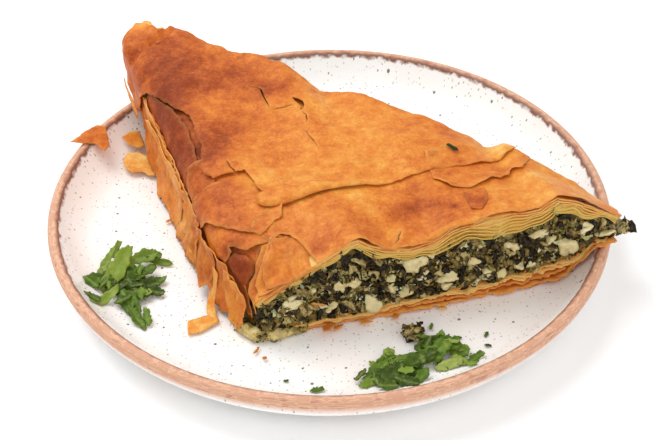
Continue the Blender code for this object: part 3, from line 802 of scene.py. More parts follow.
# sheets that hang on the outer wall; flare is (w where it leaves the wall, w at its foot, how far out)
wallLeaves = [
    {"outline": [(-13, 96), (-13, 128), (-22, 136), (-33, 122), (-38, 112), (-37, 98), (-40, 92), (-30, 90)],
     "lift": 0.2, "flare": (-18, -38, 2.5), "curl": 0.7, "ragged": 0.7, "tone": 0.5, "pleats": (7, 0.3)},
    {"outline": [(-14, 64), (-14, 84), (-14, 100), (-27, 102), (-38, 97), (-40.5, 88), (-37.5, 78),
                 (-41, 71), (-30, 65)],
     "lift": 0.5, "flare": (-18, -42, 4.5), "curl": 0.9, "ragged": 0.6, "tone": 0.41, "pleats": (10, 0.5)},
    {"outline": [(-14, 43), (-14, 55), (-15, 69), (-28, 70), (-38, 66), (-42.5, 60), (-40.5, 54), (-43, 48),
                 (-36, 43)],
     "lift": 1.0, "flare": (-18, -42, 5.0), "curl": 0.9, "ragged": 0.6, "tone": 0.36, "pleats": (9, 0.5)},
    {"outline": [(-13, 25), (-14, 38), (-15, 50), (-27, 49), (-33, 43), (-31, 37), (-34.5, 31), (-26, 25)],
     "lift": 1.5, "flare": (-16, -38, 3.5), "curl": 1.0, "ragged": 0.6, "tone": 0.52, "pleats": (8, 0.5)},
    {"outline": [(-9, 12), (-11, 22), (-14, 33), (-25, 33), (-30, 26), (-34, 20), (-29, 14), (-20, 11)],
     "lift": 1.1, "flare": (-12, -36, 3.0), "curl": 1.1, "ragged": 0.6, "tone": 0.48, "pleats": (8, 0.5)},
    {"outline": [(-7, 5), (-8, 10), (-10, 16.5), (-17, 17), (-24, 14), (-30, 10), (-25, 5.5), (-15, 3.5)],
     "lift": 1.9, "flare": (-8, -30, 3.0), "curl": 1.3, "ragged": 0.6, "tone": 0.42, "pleats": (6, 0.5)},
    # edges of the sheets that turn down over the wall
    {"outline": [(-12.5, 58), (-13, 80), (-13, 105), (-12, 122), (-14.5, 123), (-16.5, 105), (-17.5, 80),
                 (-16, 60)],
     "lift": 0.6, "curl": 0.9, "ragged": 0.5, "tone": 0.46, "paleEdge": 1.8},
    {"outline": [(-15.5, 66), (-16, 90), (-15.5, 112), (-18, 116), (-20.5, 96), (-21.5, 76), (-19, 64)],
     "lift": 1.0, "curl": 1.1, "ragged": 0.6, "tone": 0.34, "paleEdge": 1.8},
    # the splinter that stands off the far end of the wall
    {"outline": [(-24.5, 128, 0.1), (-22.3, 150, 0.1), (-22.8, 150.4, 0.1), (-24.8, 140, 0.1),
                 (-26.5, 128, 0.1)],
     "lift": 1.8, "flare": (-18, -26, 2.0), "curl": 0.2, "ragged": 0.1, "tone": 0.5},
]


# Leaf ends along each cut: the cut's length, how far they stand out, how much further the lowest do,
# the level under which they are soaked, the way their faces run, how long the stack takes to reach its
# full depth, and each leaf's level from the filling at 0 to the top at 1. cream is where along the front
# cut they are cream, and how widely.
leafEnds = {
    "front": {"length": 146, "out": 0.7, "step": 0.5, "wetBelow": 0.62, "forward": True, "slimUntil": 46,
              "seed": 3,
              "cream": (20, 18), "levels": (0.03, 0.2, 0.36, 0.5, 0.63, 0.77, 0.91)},
    "long": {"length": 190, "out": 0.5, "step": 0.3, "wetBelow": 0.5, "forward": False, "slimUntil": 10,
             "seed": 31,
             "levels": (0.05, 0.22, 0.4, 0.55, 0.7, 0.82, 0.92)},
    "far": {"length": 38, "out": 1.5, "step": 0.6, "wetBelow": 0.3, "forward": False, "slimUntil": 5,
            "seed": 57,
            "levels": (0.1, 0.35, 0.6, 0.8, 0.93)},
}


def cutLeaves(rail, spec):
    # A stack of leaf ends along a cut. rail(share, inward) gives (w, t) along the cut and inside it.
    # The lower ones are soaked.
    seed = spec["seed"]
    parts = []
    steps = int(spec["length"] / filo["endStep"])
    shares = np.linspace(0, 1, steps)
    along = shares * spec["length"]
    inward = np.array([0.0, 0.35, 1.2, 3.0, 6.0])
    for k, level in enumerate(spec["levels"]):
        wet = ease((spec["wetBelow"] - level) / 0.15)
        jag = 0.7 * waves(along, k * 3.1, seed, 6) + 0.35 * waves(along, k * 5.3, seed, 1.6)
        thick = np.clip(along / spec["slimUntil"], 0.3, 1)      # the stack is slim where the cut starts
        out = (spec["out"] + jag * (1 - 0.35 * wet) + spec["step"] * (1 - level)) * thick
        bunch = 0.6 * waves(along, k * 0.8, seed + 9, 15) + 0.35 * waves(along, k * 2.7, seed + 4, 5)
        rows = []
        for back in inward:
            w, t = rail(shares, back - out * np.exp(-back / 2))
            points, normals = crustSurface(w, t)
            f = np.clip(level + bunch * 0.28 * np.exp(-back / 4), 0.01, 1.0)
            sag = waves(along, k * 1.3, seed + 21, 7) * (0.4 + 2.2 * wet) * np.exp(-back / 1.5)
            rows.append(points - normals * (crustThickness(w, t) * (1 - f) - sag + 0.25 * back)[:, None])
        faces = []
        for i in range(len(inward) - 1):
            for j in range(steps - 1):
                a = i * steps + j
                faces.append((a, a + 1, a + steps + 1, a + steps) if spec["forward"]
                             else (a, a + steps, a + steps + 1, a + 1))
        edge = np.concatenate([np.full(steps, e) for e in (1.0, 0.8, 0.3, 0.0, 0.0)])
        brown = -0.03 + 0.2 * level - 0.12 * wet + 0.1 * sin(k * 2.4)
        if "cream" in spec:
            brown = brown - 0.4 * np.exp(-((w - spec["cream"][0]) / spec["cream"][1]) ** 2)
        brown = np.full(steps, brown) if np.ndim(brown) == 0 else brown
        soaked = wet * (0.75 + 0.25 * cos(k * 1.9))
        parts.append((np.concatenate(rows), faces, {
            "browning": np.tile(brown + 0.16 * bunch, len(inward)),
            "edgePale": edge * (2.2 - 1.4 * wet), "moist": np.full(steps * len(inward), soaked)}))
    return parts


# The body under the sheets: its grid, how far it stays from the cuts and the tip, where its left side is
# (further in near the corner), how deep it lies under the outer face and over the filling, and its tones.
# The extra browning on its upper face is painted shade, seen through the gaps and cracks between the sheets.
crustCore = {
    "columns": 60, "rows": 70, "front": 0.3, "trim": 1.3, "fromCut": 1.4, "fromTip": 9.0,
    "left": -20.0, "cornerLeft": -4.0, "cornerLength": 8.0, "sunk": 1.5, "above": 0.2, "least": 1.7,
    "pale": 0.12, "gapShade": 0.3, "moist": 0.5,
}


def makeCrust(material):
    for name, leaves, seed in (("top_crust_leaves", crustLeaves, 11), ("outer_wall_leaves", wallLeaves, 61)):
        parts = [leafMesh(leaf, seed + i, crustSurface) for i, leaf in enumerate(leaves)]
        sheetPiece(name, parts, filo["leaf"], material, "filo", "top_crust")

    def frontRail(shares, inward):
        return -6 + 146 * shares, inward + 0 * shares

    def longRail(shares, inward):
        t = 3 + 146 * shares
        return rightEdge(t) - inward - 4 * (1 - ease(t / 8)), t

    def farRail(shares, inward):
        return -28 + 38 * shares, pie["bodyLength"] + 3.5 - inward + 0 * shares

    parts = [part for rail, key in ((frontRail, "front"), (longRail, "long"), (farRail, "far"))
             for part in cutLeaves(rail, leafEnds[key])]
    sheetPiece("top_crust_leaf_ends", parts, filo["leafEnd"], material, "filo", "top_crust", offset=0.0)

    # the closed body of leaves under the sheets, kept back from the cuts; its upper face is browned darker as
    # painted shade for the gaps between the sheets
    core = crustCore
    points, values, moisture = [], [], []
    for upper in (True, False):
        for j in range(core["rows"] + 1):
            t = core["front"] + (pie["bodyLength"] - core["trim"]) * j / core["rows"]
            inCorner = t <= core["cornerLength"]
            right = min(float(rightEdge(t)) - core["fromCut"], pie["frontLength"] - core["fromTip"])
            w = np.linspace(core["cornerLeft"] if inCorner else core["left"], right, core["columns"] + 1)
            some, normals = crustSurface(w, np.full(len(w), t))
            depth = core["sunk"] if upper else np.maximum(crustThickness(w, t) - core["above"], core["least"])
            points.append(some - normals * np.reshape(depth, (-1, 1)))
            # soft and pale towards the filling and the cut; elsewhere the upper face gets extra browning as
            # painted shade
            near = t < core["cornerLength"] or not upper
            values.append(np.full(len(w), core["pale"]) if near
                          else browning(w, np.full(len(w), t)) + core["gapShade"])
            moisture.append(np.full(len(w), core["moist"] * near))
    body = meshObject("top_crust_core", np.concatenate(points), gridShell(core["columns"], core["rows"]), {
        "browning": np.concatenate(values), "edgePale": np.zeros(sum(map(len, values))),
        "moist": np.concatenate(moisture)})
    body.data.materials.append(material)
    hand(body, "filo", "top_crust")


def gridShell(columns, rows):
    # faces of a closed slab whose upper grid's points come before its lower grid's
    def at(i, j, level):
        return (level * (rows + 1) + j) * (columns + 1) + i

    faces = []
    for j in range(rows):
        for i in range(columns):
            faces.append((at(i, j, 0), at(i + 1, j, 0), at(i + 1, j + 1, 0), at(i, j + 1, 0)))
            faces.append((at(i, j, 1), at(i, j + 1, 1), at(i + 1, j + 1, 1), at(i + 1, j, 1)))
    for i in range(columns):
        faces.append((at(i, 0, 1), at(i + 1, 0, 1), at(i + 1, 0, 0), at(i, 0, 0)))
        faces.append((at(i, rows, 0), at(i + 1, rows, 0), at(i + 1, rows, 1), at(i, rows, 1)))
    for j in range(rows):
        faces.append((at(0, j, 0), at(0, j + 1, 0), at(0, j + 1, 1), at(0, j, 1)))
        faces.append((at(columns, j, 1), at(columns, j + 1, 1), at(columns, j + 1, 0), at(columns, j, 0)))
    return faces


# bottom crust
baseCrust = {
    # (level from the underside to the top, how far its front edge sticks out, browning, moistness)
    "leaves": [(0.0, 1.6, 0.6, 0.0), (0.26, 3.0, 0.34, 0.0), (0.55, 1.9, 0.44, 0.0), (0.76, 1.1, -0.2, 0.0),
               (0.95, 0.6, 0.0, 0.0)],
    "leaf": 0.4, "ripple": 1.5,
    # the body behind the edges: its grid, how far it stays from the cuts, the wall and the filling
    "core": {"columns": 40, "rows": 44, "front": 0.5, "trim": 1.9, "fromCut": 1.5, "fromWall": 2.6,
             "tip": 138, "under": 0.2, "least": 0.8, "browning": 0.35},
}


def baseSurface(level):
    # height of a leaf of the bottom crust, from its underside at level 0 to its top at level 1
    def surface(s, t):
        x, y = plan(s, t)
        low = restHeight(x, y, 2.0, 0.25)
        high = np.maximum(fillingFloor(s, np.maximum(t, 0)) - 0.3, low + 0.8)
        near = np.exp(-np.maximum(t + 1, 0) / 5)
        ripple = waves(s, level * 9, 4, 11) + 0.6 * waves(s, level * 7, 9, 4)
        z = low + (high - low) * level + baseCrust["ripple"] * near * ripple * min(1.0, 0.3 + level)
        return np.stack([x, y, np.maximum(z, low)], axis=-1), np.tile((0.0, 0.0, 1.0), (len(s), 1))
    return surface


def makeBottomCrust(material):
    parts = []
    for k, (level, out, brown, moist) in enumerate(baseCrust["leaves"]):
        leaf = {"outline": [(1, -0.4, 0.6), (20, -0.4 - out * 0.1, 0.9), (45, -0.4 - out * 0.45, 1.5),
                            (75, -0.4 - out, 2.1), (100, -0.4 - out * 0.9, 1.9), (126, -0.8 - out, 1.2),
                            (140 - k, -1.2 - out * 0.6), (140.5 - k, 4), (108, 43, 0.8), (72, 84, 0.8),
                            (30, 130, 0.8), (10, 149), (-5, 149), (-6.5, 110, 0.3), (-6.5, 30, 0.3),
                            (-2, 6, 0.4)],
                "ragged": 0.9, "curl": 0.9, "curlWidth": 1.8, "grid": 2.2, "buckled": False,
                "tone": brown, "moist": moist, "paleEdge": 1.0}
        parts.append(leafMesh(leaf, 91 + k, baseSurface(level)))
    sheetPiece("bottom_crust_leaves", parts, baseCrust["leaf"], material, "base_filo", "bottom_crust")

    # the closed body of leaves behind those edges
    core = baseCrust["core"]

    def row(t, upper):
        right = min(float(rightEdge(t)) - core["fromCut"], core["tip"])
        s = np.linspace(float(leftEdge(t)) + core["fromWall"], right, core["columns"] + 1)
        x, y = plan(s, t)
        low = restHeight(x, y, 3.5, 0.3)
        high = np.maximum(fillingFloor(s, t) - core["under"], low + core["least"])
        return np.stack([x, y, high if upper else low], axis=-1)

    body = slabObject("bottom_crust_core", core, row,
                      {"browning": core["browning"], "edgePale": 0, "moist": 0})
    body.data.materials.append(material)
    hand(body, "base_filo", "bottom_crust")


# filling
filling = {
    "voxel": 0.95,                       # fineness of the lumpy cut face
    # the block: its grid, how far it stays from the cuts, the wall and the outer face over the shoulder,
    # how far it reaches into the crusts, and its least height
    "block": {"columns": 60, "rows": 60, "front": 0.4, "trim": 1.4, "fromCut": 0.5, "fromWall": 2.2,
              "shoulder": 3.2, "overlap": 0.3, "least": 1.0},
    # bits strewn over the cut: how many for each square mm, their lengths, how far they may lean in radians,
    # how deep they sink, and the bend, twist, width and thickness of each ribbon's shape
    "shreds": {"density": 0.32, "sizes": (2.2, 6.5), "lean": 0.35, "sink": 0.35, "seed": 4,
               "shapes": [(0.35, 2.2, 0.55, 0.05), (-0.2, 1.2, 0.75, 0.05), (0.6, -2.6, 0.4, 0.06),
                          (0.15, 3.4, 0.6, 0.05), (-0.45, -1.5, 0.9, 0.05)]},
    "leeks": {"density": 0.10, "sizes": (2.0, 5.5), "lean": 0.3, "sink": 0.25, "seed": 12,
              "shapes": [(0.3, 0.8, 0.3, 0.08), (-0.3, -1.6, 0.22, 0.1), (0.1, 2.4, 0.45, 0.06)]},
    "crumbs": {"density": 0.035, "sizes": (0.8, 2.4), "lean": 1.5, "sink": 0.1, "seed": 21},
    "greenColours": [(0.30, "161107"), (0.42, "261D0D"), (0.47, "5F4B22"), (0.52, "2E2410"),
                     (0.57, "7C6531"),
                     (0.61, "4B3A17"), (0.68, "A8935A"), (0.80, "D0C08C")],
    "eggColours": [(0.34, "5F5226"), (0.43, "A08A48"), (0.52, "CDB56F"), (0.68, "E3D19A")],
    "shredColours": [(0.0, "1C1509"), (0.36, "2C2210"), (0.55, "483818"), (0.7, "6F5B29"), (0.85, "998145"),
                     (1.0, "C4B077")],
    "leekColours": [(0.0, "7A7030"), (0.4, "A3984F"), (0.7, "C9C083"), (1.0, "E6E0BC")],
    "fetaColours": [(0.0, "9C8A4E"), (0.4, "CDBB80"), (0.75, "E2D3A0"), (1.0, "EFE4C2")],
}


def fillingMaterial():
    # chopped spinach baked in egg: wet near-black leaves folded together with olive and khaki ones,
    # glossy, with milky streaks where the egg has set between them
    material, tree, shader, place = newMaterial("bakedSpinachFilling", {
        "IOR": 1.42, "Specular IOR Level": 0.3})
    swirl = addNode(tree, "ShaderNodeTexNoise", {"Scale": sized(7), "Detail": 1}, {"Vector": place})
    bend = addNode(tree, "ShaderNodeVectorMath", {"operation": "SCALE", "Scale": 9 * mm},
                   {0: swirl.outputs["Color"]})
    moved = addNode(tree, "ShaderNodeVectorMath", {"operation": "ADD"}, {0: place, 1: bend.outputs[0]})
    lumps = addNode(tree, "ShaderNodeTexNoise", {"Scale": sized(4.2), "Detail": 6, "Roughness": 0.68},
                    {"Vector": moved.outputs[0]})
    custard, = pointValues(tree, "custard")
    green, egg = [addNode(tree, "ShaderNodeValToRGB", {"stops": filling[key]}, {"Fac": lumps.outputs["Fac"]})
                  for key in ("greenColours", "eggColours")]
    colour = addNode(tree, "ShaderNodeMix", {"data_type": "RGBA"},
                     {0: custard, 6: green.outputs["Color"], 7: egg.outputs["Color"]})
    rough = addNode(tree, "ShaderNodeMapRange", {"To Min": 0.25, "To Max": 0.5},
                    {"Value": lumps.outputs["Fac"]})
    finishShader(tree, shader, colour.outputs[2], lumps, 0.7, 0.8, rough)
    return material


def tonedMaterial(name, stops, settings, grainSize, bumpHeight):
    # scattered bits share one material: each carries its own tone, and a grain runs over it
    material, tree, shader, place = newMaterial(name, settings)
    tone, = pointValues(tree, "tone")
    grain = addNode(tree, "ShaderNodeTexNoise", {"Scale": sized(grainSize), "Detail": 3}, {"Vector": place})
    ramp = addNode(tree, "ShaderNodeValToRGB", {"stops": stops}, {"Fac": mottled(tree, tone, grain, 0.9)})
    finishShader(tree, shader, ramp.outputs["Color"], grain, 0.5, bumpHeight)
    return material


def ribbonBit(name, bend, twist, width, thickness):
    # one closed crumpled scrap of leaf a unit long, lying along X
    cells, across = 5, 2
    points, count = [], (cells + 1) * (across + 1)
    for level in (0.5, -0.5):
        for i in range(cells + 1):
            x = i / cells - 0.5
            roll = twist * x
            half = width / 2 * (1 - 0.6 * abs(2 * x) ** 2.5) * (1 + 0.3 * sin(9 * x + bend * 7))
            rise = bend * (0.25 - x * x) * 2 + 0.07 * sin(11 * x + 5 * twist)
            for j in range(across + 1):
                side = 2 * j / across - 1
                y, z = side * half * cos(roll), side * half * sin(roll)
                crumple = 0.11 * cos(pi * side) * cos(7 * x + twist * 3)
                points.append((x, y + 0.14 * sin(4 * x + twist), rise + z + crumple + level * thickness))
    row = across + 1
    faces = []
    for i in range(cells):
        for j in range(across):
            a = i * row + j
            faces.append((a, a + row, a + row + 1, a + 1))
            faces.append((a + count, a + count + 1, a + count + row + 1, a + count + row))
        a, b = i * row, i * row + across
        faces.append((a, a + count, a + count + row, a + row))
        faces.append((b, b + row, b + count + row, b + count))
    for j in range(across):
        end = cells * row + j
        faces.append((j, j + 1, j + 1 + count, j + count))
        faces.append((end, end + count, end + count + 1, end + 1))
    return meshObject(name, np.array(points) / mm, faces)


def ribbonBits(shapes):
    return [ribbonBit("ribbon%d" % i, *shape) for i, shape in enumerate(shapes)]


def lumpBit(name, seed, squash):
    # one closed uneven crumb about a unit across
    bm = bmesh.new()
    bmesh.ops.create_icosphere(bm, subdivisions=2, radius=0.5)
    for vert in bm.verts:
        p = vert.co.copy()
        vert.co = p * (1 + 0.55 * wave(p.x, p.y, p.z + seed, 0.55) + 0.2 * wave(p.x, p.y, p.z + seed, 0.2))
        vert.co.z *= squash
    return bmeshObject(name, bm)


def scatterTree():
    # strews copies of a collection's pieces over faces, each with its own turn, size and tone
    tree = bpy.data.node_groups.new("strewOverFaces", "GeometryNodeTree")
    inputs = (("Faces", "NodeSocketGeometry"), ("Pieces", "NodeSocketCollection"),
              ("Density", "NodeSocketFloat"),
              ("Smallest", "NodeSocketFloat"), ("Largest", "NodeSocketFloat"), ("Lean", "NodeSocketFloat"),
              ("Sink", "NodeSocketFloat"), ("Seed", "NodeSocketInt"), ("Finish", "NodeSocketMaterial"))
    for name, kind in inputs:
        tree.interface.new_socket(name, in_out="INPUT", socket_type=kind)
    tree.interface.new_socket("Strewn", in_out="OUTPUT", socket_type="NodeSocketGeometry")
    given = addNode(tree, "NodeGroupInput").outputs
    mask = addNode(tree, "GeometryNodeInputNamedAttribute", {"data_type": "FLOAT", "Name": "strew"})
    amount = addNode(tree, "ShaderNodeMath", {"operation": "MULTIPLY"},
                     {0: mask.outputs[0], 1: given["Density"]})
    points = addNode(tree, "GeometryNodeDistributePointsOnFaces", None,
                     {"Mesh": given["Faces"], "Density": amount.outputs[0], "Seed": given["Seed"]})
    pieces = addNode(tree, "GeometryNodeCollectionInfo", {"Separate Children": True, "Reset Children": True},
                     {"Collection": given["Pieces"]})
    turn = addNode(tree, "FunctionNodeRandomValue", {"data_type": "FLOAT", 2: -pi, 3: pi},
                   {"Seed": given["Seed"]})
    leanLow = addNode(tree, "ShaderNodeMath", {"operation": "MULTIPLY", 1: -1.0}, {0: given["Lean"]})
    lean = addNode(tree, "FunctionNodeRandomValue", {"data_type": "FLOAT"},
                   {2: leanLow.outputs[0], 3: given["Lean"], "Seed": given["Seed"]})
    spin = addNode(tree, "ShaderNodeCombineXYZ", None, {"X": lean.outputs[1], "Z": turn.outputs[1]})
    size = addNode(tree, "FunctionNodeRandomValue", {"data_type": "FLOAT"},
                   {2: given["Smallest"], 3: given["Largest"], "Seed": given["Seed"]})
    placed = addNode(tree, "GeometryNodeInstanceOnPoints", {"Pick Instance": True},
                     {"Points": points.outputs["Points"], "Instance": pieces.outputs[0],
                      "Rotation": points.outputs["Rotation"], "Scale": size.outputs[1]})
    turned = addNode(tree, "GeometryNodeRotateInstances", None,
                     {"Instances": placed.outputs[0], "Rotation": spin.outputs[0]})
    down = addNode(tree, "ShaderNodeMath", {"operation": "MULTIPLY", 1: -1.0}, {0: given["Sink"]})
    shift = addNode(tree, "ShaderNodeCombineXYZ", None, {"Z": down.outputs[0]})
    sunk = addNode(tree, "GeometryNodeTranslateInstances", None,
                   {"Instances": turned.outputs[0], "Translation": shift.outputs[0]})
    tone = addNode(tree, "FunctionNodeRandomValue", {"data_type": "FLOAT", "Seed": 77})
    toned = addNode(tree, "GeometryNodeStoreNamedAttribute",
                    {"data_type": "FLOAT", "domain": "INSTANCE", "Name": "tone"},
                    {"Geometry": sunk.outputs[0], "Value": tone.outputs[1]})
    real = addNode(tree, "GeometryNodeRealizeInstances", None, {"Geometry": toned.outputs[0]})
    finish = addNode(tree, "GeometryNodeSetMaterial", None,
                     {"Geometry": real.outputs[0], "Material": given["Finish"]})
    addNode(tree, "NodeGroupOutput", None, {0: finish.outputs[0]})
    return tree


def strew(name, tree, faces, bits, spec, finish):
    # faces is the object strewn over, bits the shapes; spec says how many, how large and how they lie
    group = bpy.data.collections.new(name + "Bits")
    for bit in bits:
        group.objects.link(bit)
    piece = sceneObject(name, faces.data)
    layer = piece.modifiers.new("strew", "NODES")
    layer.node_group = tree
    sockets = {item.name: item.identifier for item in tree.interface.items_tree if item.in_out == "INPUT"}
    smallest, largest = spec["sizes"]
    given = {"Pieces": group, "Density": spec["density"] / mm ** 2, "Smallest": smallest * mm,
             "Largest": largest * mm, "Lean": spec["lean"], "Sink": spec["sink"] * mm, "Seed": spec["seed"],
             "Finish": finish}
    for key, value in given.items():
        layer[sockets[key]] = value
    baked(piece)
    piece.data.name = name
    piece.data.shade_smooth()
    for bit in bits:
        bpy.data.objects.remove(bit)
    bpy.data.collections.remove(group)
    hand(piece, "filling")


def fillingBody():
    # the closed block of filling between the crusts, with a lumpy face where it was cut
    spec = filling["block"]
    across = np.linspace(-16, 9, 60)     # w over the shoulder near the outer wall

    def row(t, upper):
        s = np.linspace(float(leftEdge(t)) + spec["fromWall"], float(rightEdge(t)) - spec["fromCut"],
                        spec["columns"] + 1)
        x, y = plan(s, t)
        floor = fillingFloor(s, t) - spec["overlap"]
        # under the crust on top, and under the shoulder near the outer wall
        ws, _, wz = overCrust(across, np.full(len(across), t))
        roof = topHeight(s, t) - crustDepth(s, t)
        roof = np.where(s < ws[-1], np.minimum(np.interp(s, ws, wz - spec["shoulder"]), roof), roof)
        top = np.maximum(roof + spec["overlap"], floor + spec["least"])
        return np.stack([x, y, top if upper else floor], axis=-1)

    block = slabObject("spinach_filling", spec, row)
    mesh = remeshed(block, filling["voxel"])
    co = np.empty(len(mesh.vertices) * 3)
    mesh.vertices.foreach_get("co", co)
    co = co.reshape(-1, 3) / mm
    normals = np.array([tuple(v.normal) for v in mesh.vertices])
    s, t = toSlice(co)
    inside = np.minimum(np.minimum(t, (rightEdge(t) - s) * 0.7), pie["bodyLength"] - 0.5 - t)
    cut = np.clip(1 - inside / 3.0, 0, 1)
    edge, reach, wallTop, crest, _ = shoulderOf(t)
    underTop = topHeight(s, t) - crustDepth(s, t)
    underShoulder = wallTop - 3 + (crest - wallTop) * np.clip((s - edge) / reach, 0, 1) ** 0.6
    under = np.where(s < edge + reach, np.minimum(underTop, underShoulder), underTop)
    below = np.clip((under - 0.3 - co[:, 2]) / 0.9, 0, 1)
    lumps = (1.5 * (0.35 - abs(waves(*co.T, 6.5))) + 1.1 * (0.3 - abs(waves(*co.T, 3.1)))
             + 0.5 * waves(*co.T, 1.5))
    co = co + normals * ((lumps * 1.2 - 0.6) * cut)[:, None]
    mesh.vertices.foreach_set("co", (co * mm).ravel())
    sideways = 1 - np.clip(np.abs(normals[:, 2]) * 1.6 - 0.8, 0, 1)
    paler = ease((s - 55) / 40)          # more set egg and cheese towards the tip
    strewn = (cut > 0.35) * sideways * below * (1 - 0.35 * paler)
    pools = np.clip(0.45 + 1.5 * waves(*co.T, 8), 0, 1) * paler
    corner = np.exp(-((s + 1) ** 2 + (t - 2) ** 2) / 14 ** 2) * np.clip((15 - co[:, 2]) / 6, 0, 1)
    seam = 0.8 * np.clip((fillingFloor(s, t) + 2.2 - co[:, 2]) / 2.2, 0, 1)
    setValues(mesh, {"strew": strewn, "custard": np.clip(corner * 1.4 + seam * 0.7 + pools * 0.75, 0, 1)})
    mesh.shade_smooth()
    return block


def toSlice(points):
    # x and y back to s and t
    front, edge = pie["frontAngle"], pie["edgeAngle"]
    x, y = points[:, 0] - pie["corner"][0], points[:, 1] - pie["corner"][1]
    spread = cos(front) * sin(edge) - sin(front) * cos(edge)
    return (x * sin(edge) - y * cos(edge)) / spread, (cos(front) * y - sin(front) * x) / spread


# feta on the front cut: (s, height, width along the cut, height of the lump, how far it stands out,
# turn in degrees)
fetaLumps = [(13.4, 21.2, 8.5, 5.8, 1.0, 15), (43.1, 14.6, 8.2, 8.2, 1.6, -35),
             (51.2, 19.6, 3.2, 4.4, 1.2, 20), (55.9, 15.9, 5.0, 3.6, 1.0, 0),
             (59.8, 28.8, 8.5, 7.5, 1.6, 25), (62.5, 22.5, 5.0, 3.4, 0.9, 10),
             (73.0, 19.6, 8.4, 4.6, 1.8, 8), (72.0, 15.4, 4.5, 3.0, 1.0, -10),
             (98.2, 28.2, 4.6, 5.6, 1.3, 50), (120.6, 21.6, 6.6, 8.0, 1.8, 15),
             (94.3, 15.9, 3.4, 3.0, 1.2, 0), (101, 17.6, 3.6, 3.0, 1.2, 0), (105.9, 17.6, 3.2, 2.8, 1.0, 0),
             (126.2, 29.4, 6.0, 5.4, 1.0, 30), (113, 27, 3.6, 2.2, 0.6, 20),
             (31.5, 25.5, 5.5, 4.2, 0.8, -10), (37, 26, 4.2, 3.4, 0.8, 0), (27.5, 16.5, 4.8, 3.2, 0.8, 10),
             (82, 24.5, 6.0, 3.4, 0.8, -12), (50.5, 24.0, 3.8, 2.4, 0.6, 0), (88, 18.5, 3.2, 2.2, 0.6, 0),
             (135, 25, 8, 2.2, 0.5, 8), (108, 31.5, 6, 2.0, 0.6, 12), (20.5, 26, 3.0, 2.6, 0.6, 0),
             (66, 31.5, 3, 2.4, 0.6, 0)]


fetaTone = 0.6
# lumps on the long cut: how many, and the least and most of each measure
looseFeta = {"count": 26, "height": (17, 34), "wide": (3, 8), "tall": (2.5, 6), "out": (0.8, 1.6),
             "turn": (-0.6, 0.6), "tone": 0.58}


def makeFeta(material):
    parts = bmesh.new()
    rng = np.random.default_rng(5)
    spots = [(plan(s, -0.2), z, wide, tall, out, radians(turn), pie["frontAngle"], fetaTone)
             for s, z, wide, tall, out, turn in fetaLumps]
    along = pie["edgeAngle"] + radians(42)   # the way the long cut runs
    for i in range(looseFeta["count"]):
        t = 6 + 140 * (i + rng.random()) / looseFeta["count"]
        z = rng.uniform(*looseFeta["height"])
        s = float(rightEdge(t))
        if z < float(topHeight(s, t) - crustDepth(s, t)) - 3:
            shape = [rng.uniform(*looseFeta[key]) for key in ("wide", "tall", "out", "turn")]
            spots.append((plan(s + 0.2, t), z, *shape, along, looseFeta["tone"]))
    tones = []
    for (x, y), z, wide, tall, out, turn, angle, tone in spots:
        made = bmesh.ops.create_icosphere(parts, subdivisions=3, radius=0.5)["verts"]
        frameTurn = Matrix.Rotation(angle, 3, "Z") @ Matrix.Rotation(-turn, 3, "Y")
        seed = rng.uniform(0, 90)
        for vert in made:
            p = vert.co.copy()
            p *= 1 + 0.85 * wave(p.x, p.y, p.z + seed, 0.5) + 0.3 * wave(p.x, p.y, p.z + seed, 0.2)
            p = Vector((p.x * wide, p.y * max(out * 2.6, 2.6), p.z * tall))
            vert.co = (frameTurn @ p + Vector((x, y, z))) * mm
        tones += [min(1.0, tone + rng.uniform(-0.12, 0.2))] * len(made)
    piece = bmeshObject("feta_lumps", parts)
    setValues(piece.data, {"tone": tones})
    piece.data.materials.append(material)
    hand(piece, "filling")


eggRoll = {
    # egg that ran out at the corner: (s, t, radius)
    "path": [(-4.5, 9, 1.8), (-3.4, 5.5, 2.6), (-2, 2, 2.9), (1, -0.4, 2.8), (5, -1.3, 2.5), (9, -1.4, 2.2),
             (13, -1.2, 1.8), (17, -0.6, 1.3)],
    "between": 5, "lump": 2.6, "voxel": 0.7,
    "flecks": {"density": 0.13, "sizes": (0.9, 2.6), "lean": 0.3, "sink": 0.1, "seed": 31,
               "shapes": [(0.2, 1.2, 0.5, 0.05), (-0.2, -2, 0.3, 0.06)]},
}


def makeEggRoll(tree, material, fleckMaterial):
    bm = bmesh.new()
    path = np.array(eggRoll["path"], float)
    for place in np.linspace(0, len(path) - 1, eggRoll["between"] * (len(path) - 1) + 1):
        s, t, radius = (np.interp(place, range(len(path)), path[:, k]) for k in range(3))
        radius *= 1 + 0.3 * wave(s, t, 3, 3)
        x, y = plan(s, t)
        z = float(restHeight(x, y, radius, 0.2)) + radius * 0.9
        bmesh.ops.create_icosphere(bm, subdivisions=2, radius=radius * mm,
                                   matrix=Matrix.Translation(Vector((x, y, z)) * mm))
    piece = bmeshObject("set_egg_corner", bm)
    mesh = remeshed(piece, eggRoll["voxel"])
    shifts = []
    for vert in mesh.vertices:
        p = vert.co / mm
        shifts.append(vert.normal * (1.3 * wave(*p, eggRoll["lump"]) + 0.5 * wave(*p, 1.2)) * mm)
    for vert, shift in zip(mesh.vertices, shifts):
        vert.co += shift
        vert.co.z = max(vert.co.z, float(restHeight(vert.co.x / mm, vert.co.y / mm, 0.5, 0.1)) * mm)
    soft = np.array([0.85 + 0.5 * wave(*(v.co / mm), 3.2) for v in mesh.vertices])
    setValues(mesh, {"custard": np.clip(soft, 0, 1), "strew": np.ones(len(soft))})
    mesh.shade_smooth()
    mesh.materials.append(material)
    hand(piece, "filling")
    flecks = eggRoll["flecks"]
    strew("green_egg_flecks", tree, piece, ribbonBits(flecks["shapes"]), flecks, fleckMaterial)


